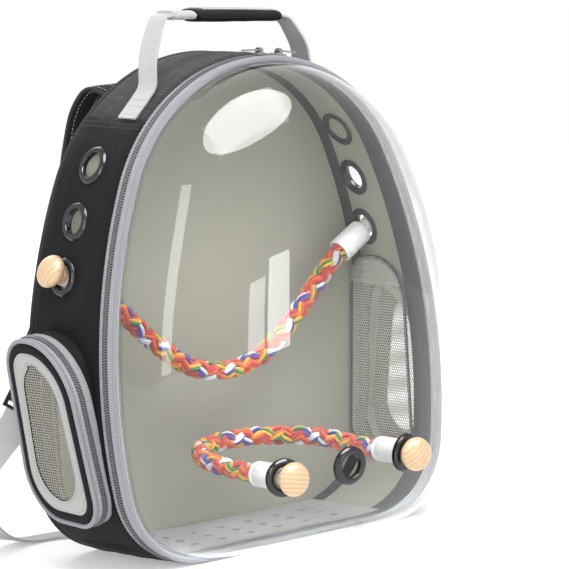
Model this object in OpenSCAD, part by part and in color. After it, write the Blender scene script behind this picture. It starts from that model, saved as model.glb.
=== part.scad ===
/* [Bag body] */
// Overall height of the bag, without its handle
bag_h = 420; // [380:1:460]
// Overall width of the bag
bag_w = 350; // [330:1:370]
// Radius of the round top
top_r = 150; // [140:1:155]
// Radius of the long bulging sides
side_r = 500; // [460:1:600]
// Radius of the bottom corners
corner_r = 76; // [60:1:90]
// Depth of the base, from the dome's ring to the back face
base_d = 136; // [120:1:160]
// How far the back face leans forward over its full height
back_lean = 33; // [20:1:45]
// Distance from each top seam to the middle
seam_x = 106; // [90:1:120]
// Thickness of the outer fabric
fabric_t = 2; // [1.5:0.1:3]
// Thickness of the lining inside it
lining_t = 1; // [0.6:0.1:1.5]
// Thickness of the padded back panel
back_t = 10; // [6:1:14]
// Height of the quilted pad on the outside of the back
pad_h = 250; // [180:1:280]
// Width of the quilted pad
pad_w = 210; // [150:1:230]
// Crown of the quilted pad
pad_t = 9; // [5:1:14]
// Thickness of the loose floor tray
tray_t = 2.4; // [1.6:0.1:4]

/* [Front zip and ring] */
// Depth of the whole zip band, from the black fabric to the ring's front face
band_d = 22; // [19:0.5:26]
// Width of each half of the zip's coil
coil_w = 3.3; // [2.6:0.1:4]
// Height of the coil above its tape
coil_h = 1.4; // [1:0.1:2]
// Thickness of the zip's tape
tape_t = 1.2; // [0.8:0.1:1.6]
// Radius of the piping round the ring
piping_r = 2.6; // [2:0.1:3.2]
// Width of the dark binding inside the opening
binding_w = 16; // [10:1:22]

/* [Dome] */
// How far the clear dome stands out of its ring
dome_d = 96; // [70:1:115]
// Thickness of the clear sheet
dome_t = 1.5; // [1:0.1:2.5]
// Height at which the dome is deepest
dome_peak_z = 225; // [180:1:260]
// Squareness of the dome's lower half, 2 is an ellipse
dome_low_n = 4.5; // [2.5:0.1:6]
// Squareness of the dome's upper half
dome_high_n = 2.4; // [2:0.1:3]
// Squareness of the dome's level sections
dome_side_n = 2.1; // [2:0.1:2.8]
// Width of the flat rim that is sewn into the ring
dome_rim = 3; // [2:0.5:5]

/* [Eyelets] */
// Outer radius of the side eyelets
side_eye_r = 17; // [15:0.5:19]
// Radius of the hole through a side eyelet
side_hole_r = 11; // [9.5:0.5:12]
// Drop from the top of the bag to the lowest side eyelet
side_eye_drop = 171; // [155:1:185]
// Height step from one side eyelet to the next
side_eye_step = 46; // [42:1:50]
// Depth place of the lowest side eyelet
side_eye_y = 11; // [0:1:20]
// How far each higher eyelet lies further forward
side_eye_lean = 6.5; // [0:0.5:10]
// Height of the three eyelets in the dome
dome_eye_z = 76; // [70:1:90]
// Distance of the outer dome eyelets from the middle
dome_eye_x = 65; // [55:1:75]

/* [Perches] */
// Radius of the braided perch rope
rope_r = 8.75; // [7:0.25:10]
// Angle at which the upper perch leaves the wall, downwards
perch_tilt = 30; // [20:1:32]
// Outer radius of the white end sleeve
sleeve_r = 11; // [10:0.5:12.5]
// Length of the white end sleeve
sleeve_l = 30; // [26:1:36]
// Radius of the sleeve's nose and of the wooden knob's neck
nose_r = 7; // [6:0.25:8]
// Distance from the wall to the sleeve's shoulder
shoulder_s = 8; // [7.8:0.1:10]
// The same distance at the dome, whose skin meets the perch more squarely
lower_shoulder_s = 6.5; // [6.4:0.1:8]
// Radius of the threaded rod through the wall
bolt_r = 3; // [2.5:0.25:3.5]
// Radius of the wooden knob
knob_r = 14.5; // [12:0.5:17]
// Thickness of the wooden knob
knob_t = 18; // [14:0.5:22]
// Length of the wooden knob's neck
neck_l = 4.5; // [4:0.5:8]

/* [Side pods] */
// How far the pod's face stands out from the middle at its top
pod_x = 204; // [198:1:210]
// Height of the pod's top
pod_top_z = 200; // [190:1:205]
// Height of the pod's bottom
pod_low_z = 37; // [34:1:50]
// Inward lean of the pod's face, in degrees
pod_lean = 7.6; // [5:0.2:8]
// Thickness of the pod's face panel
pod_face_t = 3; // [2:0.5:4]
// Width of the zip tape on the pod's door
pod_tape_w = 5; // [4:0.5:6]
// Width of the face's fabric frame round its border
pod_frame_w = 8; // [4:0.5:12]
// Width of the pale border round the pod's net
pod_border_w = 10; // [8:0.5:14]
// Distance from one strand of the nets to the next
net_pitch = 7; // [6:0.5:10]
// Distance from one strand of the inner nets to the next
inner_pitch = 9.2; // [7:0.1:12]
// Width of a strand of the nets
net_strand = 1.4; // [1:0.1:2]
// Thickness of the nets
net_t = 0.8; // [0.5:0.1:1.2]

/* [Handle] */
// Width of the handle's webbing
web_w = 25; // [20:1:30]
// Thickness of the webbing
web_t = 2.2; // [1.5:0.1:3]
// Depth place of the handle
handle_y = -20; // [-26:1:-12]
// Distance of the handle's feet from the middle
handle_x = 81; // [75:1:88]
// Rise of the handle's top edge above the bag
handle_rise = 39; // [30:1:50]
// Drop from the top of the bag to the line that the handle folds about
handle_drop = 10; // [8:1:12]
// Length of the padded grip
grip_l = 82; // [70:1:90]
// Thickness of the padded grip
grip_t = 11; // [9:0.5:14]
// Sideways place of the grip on its webbing
grip_x = 13; // [0:1:14]

/* [Shoulder straps] */
// Width of the padded strap
strap_w = 50; // [40:1:56]
// Thickness of the padded strap
strap_t = 9; // [6:0.5:12]
// Width of the strap's lower webbing
lower_web_w = 27; // [22:1:30]

/* [Hidden] */
$fn = 48;

// Clearances between pieces that move past each other, and between a shaft and its bore
gap = 0.3;
run_gap = 0.08;

// ---------- outline of the bag, seen from the front: three tangent arcs on each side ----------
side_cx = bag_w / 2 - side_r;
side_cz = bag_h - top_r - sqrt(pow(side_r - top_r, 2) - pow(side_cx, 2));
top_a = atan2(bag_h - top_r - side_cz, -side_cx);
corner_x = side_cx + sqrt(pow(side_r - corner_r, 2) - pow(side_cz - corner_r, 2));
low_a = atan2(corner_r - side_cz, corner_x - side_cx);

function arc(cx, cz, r, a0, a1, n) = [for (i = [0:n - 1]) let (a = a0 + (a1 - a0) * i / n) [cx + r * cos(a), cz + r * sin(a)]];
function outline(inset) = concat(
  arc(corner_x, corner_r, corner_r - inset, -90, low_a, 9),
  arc(side_cx, side_cz, side_r - inset, low_a, top_a, 14),
  arc(0, bag_h - top_r, top_r - inset, top_a, 180 - top_a, 34),
  arc(-side_cx, side_cz, side_r - inset, 180 - top_a, 180 - low_a, 14),
  arc(-corner_x, corner_r, corner_r - inset, 180 - low_a, 270, 9),
  [[-corner_x, inset]]
);
// Half width of the outline at height z
function half_w(z, inset) =
  z > bag_h - top_r + (top_r - inset) * sin(top_a) ? sqrt(max(0, pow(top_r - inset, 2) - pow(z - bag_h + top_r, 2)))
  : z < corner_r + (corner_r - inset) * sin(low_a) ? corner_x + sqrt(max(0, pow(corner_r - inset, 2) - pow(z - corner_r, 2)))
  : side_cx + sqrt(pow(side_r - inset, 2) - pow(z - side_cz, 2));
// Upward angle of the side wall's outward normal at height z
function wall_a(z) =
  z > bag_h - top_r + top_r * sin(top_a) ? asin((z - bag_h + top_r) / top_r) : asin((z - side_cz) / side_r);

// ---------- places along the depth, front to back ----------
ring_y = -base_d / 2;
border_y = ring_y + band_d;
split_y = border_y - (band_d - 2 * piping_r) / 2 + 0.3;
back_y = base_d / 2;
wall_t = fabric_t + lining_t;
tape_in = 2.2;
band_in = tape_in + tape_t;
piping_in = piping_r + 0.6;
piping_y = ring_y + piping_r - 0.2;
function back_at(z) = back_y - back_lean * z / bag_h;

// ---------- heights that follow the bag's ----------
side_eye_z = bag_h - side_eye_drop;
handle_top_z = bag_h + handle_rise;
handle_fold_z = bag_h - handle_drop;
strap_z = bag_h - 90;

// ---------- small helpers ----------
function unit(v) = v / norm(v);
function last(v) = v[len(v) - 1];
module along_y(y0, y1) { translate([0, y1, 0]) rotate([90, 0, 0]) linear_extrude(y1 - y0) children(); }
module along_x(x0, x1) { translate([x0, 0, 0]) rotate([90, 0, 90]) linear_extrude(x1 - x0) children(); }
module band(in0, in1, y0, y1) {
  along_y(y0, y1) difference() { polygon(outline(in0)); polygon(outline(in1)); }
}
// Everything in front of the leaning back face, moved forward by o
module before_back(o) {
  along_x(-bag_w, bag_w) polygon([[-bag_w, -1], [back_at(-1) - o, -1], [back_at(bag_h + 1) - o, bag_h + 1], [-bag_w, bag_h + 1]]);
}
module both_sides() { children(); mirror([1, 0, 0]) children(); }
module top_zone() { polygon([[-seam_x, bag_h / 2], [seam_x, bag_h / 2], [seam_x, bag_h + 30], [-seam_x, bag_h + 30]]); }
module base_zone() { polygon([[-corner_x, -5], [corner_x, -5], [corner_x, corner_r], [-corner_x, corner_r]]); }
module side_zone() {
  polygon([[corner_x, -5], [bag_w, -5], [bag_w, bag_h + 30], [seam_x, bag_h + 30], [seam_x, bag_h / 2], [corner_x, corner_r]]);
}

// A closed outline from corner points, each rounded by its own radius
function corner_arc(p, q, s, r) =
  let (u = unit(p - q), v = unit(s - q), half = acos(u * v) / 2, d = r / tan(half), c = q + unit(u + v) * r / sin(half),
       a0 = atan2((q + u * d - c)[1], (q + u * d - c)[0]), a1 = atan2((q + v * d - c)[1], (q + v * d - c)[0]),
       turn = a1 - a0 > 180 ? a1 - a0 - 360 : a1 - a0 < -180 ? a1 - a0 + 360 : a1 - a0, n = max(3, ceil(abs(turn) / 9)))
  [for (i = [0:n]) c + r * [cos(a0 + turn * i / n), sin(a0 + turn * i / n)]];
function rounded(pts, rs) = [for (i = [0:len(pts) - 1])
  each corner_arc(pts[(i + len(pts) - 1) % len(pts)], pts[i], pts[(i + 1) % len(pts)], rs[i])];
// The same corners moved inwards by d, for four corner points in anticlockwise order
function inward(pts, d) = [for (i = [0:len(pts) - 1])
  let (p = pts[(i + len(pts) - 1) % len(pts)], q = pts[i], s = pts[(i + 1) % len(pts)],
       u = unit(q - p), v = unit(s - q), nu = [-u[1], u[0]], nv = [-v[1], v[0]], m = unit(nu + nv))
  q + m * d / (m * nu)];

// A tube through a row of points: rings of n sides, square to the path, with flat ends
function tangent_at(p, i, closed) = let (n = len(p))
  unit(closed ? p[(i + 1) % n] - p[(i + n - 1) % n] : i == 0 ? p[1] - p[0] : i == n - 1 ? p[n - 1] - p[n - 2] : unit(p[i + 1] - p[i]) + unit(p[i] - p[i - 1]));
module sweep(p, section, side, closed = false) {
  n = len(p);
  m = len(section);
  rings = [for (i = [0:n - 1]) let (t = tangent_at(p, i, closed), b = unit(side[i] - t * (side[i] * t)), c = cross(t, b))
    for (s = section) p[i] + b * s[0] + c * s[1]];
  walls = [for (i = [0:n - (closed ? 1 : 2)], j = [0:m - 1]) let (k = (i + 1) % n, l = (j + 1) % m)
    each [[i * m + j, i * m + l, k * m + l], [i * m + j, k * m + l, k * m + j]]];
  ends = closed ? [] : [[for (j = [m - 1:-1:0]) j], [for (j = [0:m - 1]) (n - 1) * m + j]];
  polyhedron(rings, [for (f = concat(walls, ends)) [for (j = [len(f) - 1:-1:0]) f[j]]], convexity = 6);
}
function ngon(r, n) = [for (i = [0:n - 1]) r * [cos(360 * i / n), sin(360 * i / n)]];
function flat_section(w, t) = [[w / 2, t / 2], [-w / 2, t / 2], [-w / 2, -t / 2], [w / 2, -t / 2]];
// A flat strap's section with round edges
function strap_section(w, t) = concat(
  [for (a = [-60:60:60]) [w / 2 - t / 2, 0] + t / 2 * [cos(a), sin(a)]],
  [for (a = [120:60:240]) [-w / 2 + t / 2, 0] + t / 2 * [cos(a), sin(a)]]);

// ---------- the bag's panels ----------
module eye_place(i) {
  z = side_eye_z + i * side_eye_step;
  translate([half_w(z, 0), side_eye_y - i * side_eye_lean, z]) rotate([0, 90 - wall_a(z), 0]) children();
}
barrel_r = side_hole_r + 1.2;
washer_t = 1.2;
module eye_holes() { for (i = [0:2]) eye_place(i) translate([0, 0, -20]) cylinder(r = barrel_r + 0.1, h = 40); }
module window_cut() { along_x(bag_w / 2 - 60, bag_w / 2 + 20) polygon(pod_outline(pod_gusset_in)); }
module side_shell(in0, in1) {
  difference() {
    intersection() {
      along_y(border_y, back_y + 5) intersection() {
        difference() { polygon(outline(in0)); polygon(outline(in1)); }
        side_zone();
      }
      before_back(0);
    }
    eye_holes();
    window_cut();
  }
}
module side_panel_right() { color([0.13, 0.13, 0.15]) side_shell(0, fabric_t); }
module side_panel_left() { color([0.13, 0.13, 0.15]) mirror([1, 0, 0]) side_shell(0, fabric_t); }
module lining_right() { color([0.62, 0.61, 0.58]) side_shell(fabric_t, wall_t); }
module lining_left() { color([0.62, 0.61, 0.58]) mirror([1, 0, 0]) side_shell(fabric_t, wall_t); }
module top_shell(in0, in1) {
  intersection() {
    along_y(border_y, back_y + 5) intersection() {
      difference() { polygon(outline(in0)); polygon(outline(in1)); }
      top_zone();
    }
    before_back(0);
  }
}
module top_panel() { color([0.3, 0.3, 0.32]) top_shell(0, fabric_t); }
module lining_top() { color([0.62, 0.61, 0.58]) top_shell(fabric_t, wall_t); }
module base_panel() {
  color([0.13, 0.13, 0.15]) intersection() {
    along_y(border_y, back_y + 5) intersection() {
      difference() { polygon(outline(0)); polygon(outline(wall_t)); }
      base_zone();
    }
    before_back(0);
  }
}
module back_slab(in0, o0, o1) {
  difference() {
    intersection() { along_y(0, back_y + 5) polygon(outline(in0)); before_back(o0); }
    before_back(o1);
  }
}
module back_panel() { color([0.12, 0.12, 0.13]) back_slab(wall_t, 0, back_t); }
module lining_back() { color([0.66, 0.65, 0.6]) back_slab(wall_t, back_t, back_t + lining_t); }
back_in = back_t + lining_t;
module back_binding() {
  color([0.1, 0.1, 0.11]) difference() {
    intersection() { band(wall_t, wall_t + 1.2, 0, back_y + 5); before_back(back_in); }
    before_back(back_in + binding_w - 2);
    both_sides() for (i = [0:2]) eye_place(i) translate([0, 0, -20]) cylinder(r = side_eye_r + gap, h = 40);
  }
}
module front_binding() {
  color([0.1, 0.1, 0.11]) {
    band(band_in, band_in + tape_t, split_y + gap / 2, border_y);
    band(wall_t, band_in + tape_t, border_y, border_y + binding_w);
  }
}
module floor_tray() {
  z0 = wall_t + tape_t + 0.6;
  color([0.55, 0.55, 0.53]) difference() {
    intersection() {
      along_y(border_y + 3, back_y) intersection() { polygon(outline(z0)); translate([-bag_w, z0]) square([2 * bag_w, tray_t]); }
      before_back(back_in + 2);
    }
    for (x = [-75:30:75], y = [-25:22:19]) translate([x, y, 0]) cylinder(r = 4, h = 40);
  }
}
module back_piping() {
  pts = [for (p = outline(piping_r - 0.6)) [p[0], back_at(p[1]) + piping_r + 0.1, max(p[1], piping_r)]];
  color([0.16, 0.16, 0.18]) sweep(pts, ngon(piping_r, 8), [for (p = pts) [0, 1, 0.08]], true);
}
// Quilted pad: a crowned sheet with sewn channels across it and a drawn-in edge
module back_pad() {
  nu = 18;
  nv = 30;
  channels = 5;
  z_mid = bag_h * 0.47;
  function edge_in(v) = 1 - 0.05 * (1 - pow(2 * v - 1, 2));
  function crown(u, v) = pad_t * (1 - pow(abs(2 * u - 1), 5)) * (1 - pow(abs(2 * v - 1), 8)) * (0.55 + 0.45 * abs(sin(180 * v * channels)));
  function place(u, v, h) = let (z = z_mid + (v - 0.5) * pad_h)
    [(u - 0.5) * pad_w * edge_in(v), back_at(z) + h, z];
  front = [for (i = [0:nv], j = [0:nu]) place(j / nu, i / nv, 1 + crown(j / nu, i / nv))];
  back = [for (i = [0:nv], j = [0:nu]) place(j / nu, i / nv, 0)];
  w = nu + 1;
  all = len(front);
  faces = [for (i = [0:nv - 1], j = [0:nu - 1]) let (a = i * w + j)
    each [[a, a + w, a + 1], [a + 1, a + w, a + w + 1], [all + a, all + a + 1, all + a + w], [all + a + 1, all + a + w + 1, all + a + w]]];
  rim = concat([for (j = [0:nu - 1]) j], [for (i = [0:nv - 1]) i * w + nu], [for (j = [nu:-1:1]) nv * w + j], [for (i = [nv:-1:1]) i * w]);
  skirt = [for (k = [0:len(rim) - 1]) let (a = rim[k], b = rim[(k + 1) % len(rim)]) each [[a, b, all + b], [a, all + b, all + a]]];
  color([0.2, 0.2, 0.21]) polyhedron(concat(front, back), concat(faces, skirt), convexity = 4);
}

// ---------- front zip, ring and dome ----------
module body_zip_tape() { color([0.75, 0.75, 0.77]) band(tape_in, band_in, split_y + gap / 2, border_y); }
module body_zip_coil() { color([0.42, 0.42, 0.43]) band(tape_in - coil_h, tape_in, split_y + gap / 2, split_y + coil_w); }
module door_zip_tape() {
  color([0.72, 0.72, 0.74]) {
    band(tape_in, band_in, piping_y + piping_r, split_y - gap / 2);
    band(band_in, band_in + tape_t, piping_y + piping_r + 0.2, split_y - gap / 2);
  }
}
module door_zip_coil() { color([0.42, 0.42, 0.43]) band(tape_in - coil_h, tape_in, split_y - coil_w, split_y - gap / 2); }
module door_piping() {
  pts = [for (p = outline(piping_in)) [p[0], piping_y, p[1]]];
  color([0.66, 0.66, 0.7]) sweep(pts, ngon(piping_r, 10), [for (p = pts) [0, 1, 0]], true);
}
dome_in = piping_in + piping_r + 0.1;
dome_y = piping_y + 0.4;
dome_reach = dome_d - (ring_y - dome_y) * -1;
// Depth of the dome's skin at x and z; t is how far inside the outer skin
function dome_v(z, t) = let (low = dome_in + t, high = bag_h - dome_in - t,
    u = z < dome_peak_z ? (dome_peak_z - z) / (dome_peak_z - low) : (z - dome_peak_z) / (high - dome_peak_z),
    n = z < dome_peak_z ? dome_low_n : dome_high_n)
  pow(max(0, 1 - pow(min(1, u), n)), 1 / n);
function dome_depth(x, z, t) = let (s = min(1, abs(x) / max(0.01, half_w(z, dome_in + t))))
  (dome_reach - t) * dome_v(z, t) * pow(max(0, 1 - pow(s, dome_side_n)), 1 / dome_side_n);
dome_rows = 30;
dome_cols = 26;
function dome_skin(t) = let (low = dome_in + t, high = bag_h - dome_in - t)
  concat([for (i = [0:dome_rows - 1]) let (z = low + (high - low) * (1 - cos(180 * i / dome_rows)) / 2, w = half_w(z, dome_in + t))
    for (j = [0:dome_cols]) let (x = w * sin(180 * j / dome_cols - 90))
      [x, dome_y - dome_depth(x, z, t), z]], [[0, dome_y, high]]);
module dome_shell() {
  w = dome_cols + 1;
  tip = dome_rows * w;
  shift = tip + 1;
  skin = [for (i = [0:dome_rows - 2], j = [0:dome_cols - 1]) let (a = i * w + j) each [[a, a + w, a + 1], [a + 1, a + w, a + w + 1]]];
  cap = [for (j = [0:dome_cols - 1]) [(dome_rows - 1) * w + j, tip, (dome_rows - 1) * w + j + 1]];
  outer = concat(skin, cap);
  inner = [for (f = outer) [f[2] + shift, f[1] + shift, f[0] + shift]];
  rim = concat([for (j = [0:dome_cols - 1]) j], [for (i = [0:dome_rows - 1]) i * w + dome_cols], [tip],
    [for (i = [dome_rows - 1:-1:1]) i * w]);
  edge = [for (k = [0:len(rim) - 1]) let (a = rim[k], b = rim[(k + 1) % len(rim)]) each [[a, b, b + shift], [a, b + shift, a + shift]]];
  polyhedron(concat(dome_skin(0), dome_skin(dome_t)), concat(edge, inner, outer), convexity = 6);
}
dome_eye_r = side_eye_r - 0.5;
dome_hole_r = side_hole_r - 1;
// Puts a child on the dome's skin at x, its axis along the skin's normal
function dome_slope(x, z) = let (e = 2)
  unit([(dome_depth(x - e, z, 0) - dome_depth(x + e, z, 0)) / (2 * e), -1, (dome_depth(x, z - e, 0) - dome_depth(x, z + e, 0)) / (2 * e)]);
module on_dome(x) {
  n = dome_slope(x, dome_eye_z);
  translate([x, dome_y - dome_depth(x, dome_eye_z, 0), dome_eye_z]) rotate([0, 0, atan2(n[1], n[0])]) rotate([0, acos(n[2]), 0]) children();
}
dome_eyes = [-dome_eye_x, 0, dome_eye_x];
// How far the flat rim lies inside the outer skin
rim_step = 0.5;
module dome() {
  color([0.85, 0.88, 0.9, 0.35]) difference() {
    union() {
      dome_shell();
      band(dome_in + rim_step, dome_in + dome_rim, dome_y - 0.4, dome_y + 1);
    }
    for (x = dome_eyes) on_dome(x) translate([0, 0, -12]) cylinder(r = dome_hole_r + 1.3, h = 24);
  }
}

// ---------- eyelets: a rolled flange with a barrel, and a washer behind the wall ----------
module eyelet(r, hole, wall, sink) {
  rotate_extrude() polygon([
    [hole, -wall - 1.4], [hole + 1.2, -wall - 1.4], [hole + 1.2, sink], [r, sink], [r - 0.4, sink + 1], [r - 2, sink + 1.9],
    [hole + 2, sink + 1.9], [hole + 0.4, sink + 1.2], [hole, sink + 0.4]]);
}
module washer(r, hole, z) {
  translate([0, 0, z]) difference() { cylinder(r = r, h = washer_t); translate([0, 0, -1]) cylinder(r = hole + 1.3, h = 4); }
}
module side_grommets() {
  color([0.22, 0.22, 0.24]) both_sides() for (i = [0:2]) eye_place(i) eyelet(side_eye_r, side_hole_r, wall_t, 0.02);
}
module side_washers() {
  color([0.22, 0.22, 0.24]) both_sides() for (i = [0:2]) eye_place(i) washer(side_eye_r, side_hole_r, -wall_t - washer_t - (i == 2 ? 1.1 : 0.4));
}
module door_grommets() {
  color([0.22, 0.22, 0.24]) for (x = dome_eyes) on_dome(x) eyelet(dome_eye_r, dome_hole_r, dome_t + 0.6, 0.05);
}
module door_washers() {
  color([0.22, 0.22, 0.24]) for (x = dome_eyes) on_dome(x) washer(dome_eye_r, dome_hole_r, -dome_t - washer_t - 0.9);
}

// ---------- perches: each end has a sleeve, a threaded rod and a wooden knob on one axis ----------
module upper_end() {
  translate([half_w(side_eye_z, 0), side_eye_y, side_eye_z]) rotate([0, 90 - perch_tilt, 0]) children();
}
module lower_end(x) { translate([x, dome_y - dome_depth(x, dome_eye_z, 0), dome_eye_z]) rotate([90, 0, 0]) children(); }
rod_head_t = 2.5;
sleeve_wall = 5;
module ferrule(s) {
  difference() {
    union() {
      translate([0, 0, -s - sleeve_l]) cylinder(r = sleeve_r, h = sleeve_l - 1);
      translate([0, 0, -s - 1]) cylinder(r1 = sleeve_r, r2 = sleeve_r - 1, h = 1);
      translate([0, 0, -s - 0.5]) cylinder(r = nose_r, h = s + 0.5 - gap);
    }
    translate([0, 0, -s - sleeve_l - 1]) cylinder(r = rope_r + 0.25, h = sleeve_l + 1 - sleeve_wall);
    translate([0, 0, -60]) cylinder(r = bolt_r + run_gap, h = 80);
  }
}
rod_top = neck_l + 9;
module rod(s) {
  translate([0, 0, -s - sleeve_wall - rod_head_t]) cylinder(r = rope_r - 1.5, h = rod_head_t - 0.02);
  translate([0, 0, -s - sleeve_wall - 0.5]) cylinder(r = bolt_r, h = s + sleeve_wall + 0.5 + rod_top);
}
module knob() {
  color([0.88, 0.74, 0.55]) difference() {
    union() {
      cylinder(r = nose_r + 0.4, h = neck_l + 4);
      translate([0, 0, neck_l]) rotate_extrude() intersection() {
        translate([0, knob_t / 2]) scale([knob_r, knob_t / 2]) circle(r = 1, $fn = 64);
        translate([0, 0]) square([knob_r + 1, knob_t + 1]);
      }
    }
    translate([0, 0, -1]) cylinder(r = bolt_r + run_gap, h = rod_top + 2);
  }
}
module upper_ferrules() { color("white") both_sides() upper_end() ferrule(shoulder_s); }
module upper_bolts() { color([0.7, 0.7, 0.72]) both_sides() upper_end() rod(shoulder_s); }
module lower_ferrules() { color("white") for (x = [-dome_eye_x, dome_eye_x]) lower_end(x) ferrule(lower_shoulder_s); }
module lower_bolts() { color([0.7, 0.7, 0.72]) for (x = [-dome_eye_x, dome_eye_x]) lower_end(x) rod(lower_shoulder_s); }
module knob_upper_right() { upper_end() knob(); }
module knob_upper_left() { mirror([1, 0, 0]) upper_end() knob(); }
module knob_lower_right() { lower_end(dome_eye_x) knob(); }
module knob_lower_left() { lower_end(-dome_eye_x) knob(); }

// Rope routes, middle to right end; the left half is the mirror image.
// The last point lies at the head of the threaded rod.
rope_start_s = sleeve_wall + rod_head_t;
function on_upper(s) = [half_w(side_eye_z, 0) - s * cos(perch_tilt), side_eye_y, side_eye_z - s * sin(perch_tilt)];
function on_lower(s) = [dome_eye_x, dome_y - dome_depth(dome_eye_x, dome_eye_z, 0) + s, dome_eye_z];
upper_half = [[0, 11, 145], [20, 11, 147], [40, 11, 154], [58, 11, 166], [76, 11, 181], [94, 11, 198], [112, 11, 215]];
lower_half = [[0, 21, 82], [19, 18, 82], [36, 8, 81.5], [50, -8, 81], [60, -28, 80], [64, -50, 78.5], [65, -72, 77], [65, -94, 76]];
function whole(half) = concat([for (i = [len(half) - 1:-1:1]) [-half[i][0], half[i][1], half[i][2]]], half);
upper_route = whole(concat(upper_half, [on_upper(shoulder_s + sleeve_l), on_upper(shoulder_s + rope_start_s)]));
lower_route = whole(concat(lower_half, [on_lower(lower_shoulder_s + sleeve_l), on_lower(lower_shoulder_s + rope_start_s)]));
module upper_rope() { color([0.8, 0.35, 0.2]) sweep(upper_route, ngon(rope_r, 12), [for (p = upper_route) [0, 1, 0]]); }
module lower_rope() { color([0.8, 0.35, 0.2]) sweep(lower_route, ngon(rope_r, 12), [for (p = lower_route) [0, 0, 1]]); }

// ---------- side pods, drawn for the right side ----------
// Corner points of the pod's outline in depth and height, anticlockwise, and their radii
pod_corners = [[-44, pod_low_z], [58, pod_low_z + 5], [50, pod_top_z + 1], [-37, pod_top_z + 1]];
pod_radii = [24, 34, 30, 56];
pod_gusset_in = 7;
pod_split = 10.5;
pod_coil_in = 1.4;
function pod_outline(inset) = rounded(inward(pod_corners, inset), [for (r = pod_radii) max(2, r - inset)]);
function pod_flat(inset) = [for (p = pod_outline(inset)) [p[0], p[1] - pod_top_z]];
module on_pod() { translate([pod_x, 0, pod_top_z]) rotate([0, pod_lean, 0]) rotate([90, 0, 90]) children(); }
module pod_ring(in0, in1, c0, c1) {
  translate([0, 0, c0]) linear_extrude(c1 - c0) difference() { polygon(pod_flat(in0)); polygon(pod_flat(in1)); }
}
module pod_gusset() {
  color([0.14, 0.14, 0.16]) difference() {
    on_pod() {
      pod_ring(1, 3, -60, -pod_split - gap / 2);
      pod_ring(0.2, 1.2, -pod_split - 3, -pod_split - gap / 2);
    }
    along_y(-100, 100) polygon(outline(0));
  }
}
module pod_gusset_right() { pod_gusset(); }
module pod_gusset_left() { mirror([1, 0, 0]) pod_gusset(); }
module pod_tape() {
  color([0.72, 0.72, 0.74]) on_pod() {
    pod_ring(1, 3, -pod_split + gap / 2, pod_piping_c - pod_piping_r - 0.1);
    pod_ring(0.2, 1.2, -pod_split + gap / 2, -pod_split + 3);
  }
}
module pod_tape_right() { pod_tape(); }
module pod_tape_left() { mirror([1, 0, 0]) pod_tape(); }
pod_piping_r = 2;
pod_piping_c = 0.6 - pod_piping_r;
module pod_piping() {
  flat = pod_outline(pod_piping_r - 0.6);
  pts = [for (p = flat) [p[0], p[1] - pod_top_z, pod_piping_c]];
  color([0.6, 0.6, 0.64]) on_pod() sweep(pts, ngon(pod_piping_r, 8), [for (p = pts) [0, 0, 1]], true);
}
module pod_piping_right() { pod_piping(); }
module pod_piping_left() { mirror([1, 0, 0]) pod_piping(); }
pod_face_in = 2 * pod_piping_r - 0.5;
border_up = 0.8;
module pod_face() {
  color([0.13, 0.13, 0.15]) on_pod() {
    pod_ring(pod_face_in, pod_face_in + pod_frame_w + pod_border_w, -pod_face_t, 0);
    pod_ring(pod_face_in + pod_frame_w, pod_face_in + pod_frame_w + pod_border_w - 0.8, -0.5, border_up);
  }
}
module pod_face_right() { pod_face(); }
module pod_face_left() { mirror([1, 0, 0]) pod_face(); }
// How far a point lies inside an outline drawn anticlockwise
function depth_in(p, shape) = min([for (i = [0:len(shape) - 1]) let (a = shape[i], e = unit(shape[(i + 1) % len(shape)] - a))
  e[0] * (p[1] - a[1]) - e[1] * (p[0] - a[0])]);
// A square net: every gap that lies wholly inside the hem is cut out of a thin sheet
module net(shape, hem, pitch) {
  hole = pitch - net_strand;
  linear_extrude(net_t) difference() {
    polygon(shape);
    for (u = [-70:pitch:80], v = [-196:pitch:40])
      if (min([for (c = [[0, 0], [hole, 0], [hole, hole], [0, hole]]) depth_in([u, v] + c, shape)]) > hem) translate([u, v]) square(hole);
  }
}
module pod_net() {
  color([0.55, 0.54, 0.5]) on_pod() translate([0, 0, -1.6]) net(pod_flat(pod_face_in + pod_frame_w + pod_border_w), 2, net_pitch);
}
module pod_net_right() { pod_net(); }
module pod_net_left() { mirror([1, 0, 0]) pod_net(); }
// The inner net hangs flat across the side wall, from above the pod to below it
net_corners = [[-41, pod_low_z + 4], [52.6, pod_low_z + 5], [38.5, pod_top_z + 22], [-36.5, pod_top_z + 22]];
net_radii = [16, 28, 26, 44];
net_in = band_in + tape_t + gap;
module inner_net() {
  low_z = net_corners[0][1];
  high_z = net_corners[2][1];
  low_x = half_w(low_z, net_in);
  high_x = half_w(high_z, net_in);
  color([0.45, 0.44, 0.4]) translate([high_x, 0, high_z]) rotate([0, atan2(high_x - low_x, high_z - low_z), 0]) rotate([90, 0, 90])
    translate([0, 0, -net_t]) net([for (p = rounded(net_corners, net_radii)) [p[0], p[1] - high_z]], 2.5, inner_pitch);
}
module inner_net_right() { inner_net(); }
module inner_net_left() { mirror([1, 0, 0]) inner_net(); }

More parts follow.
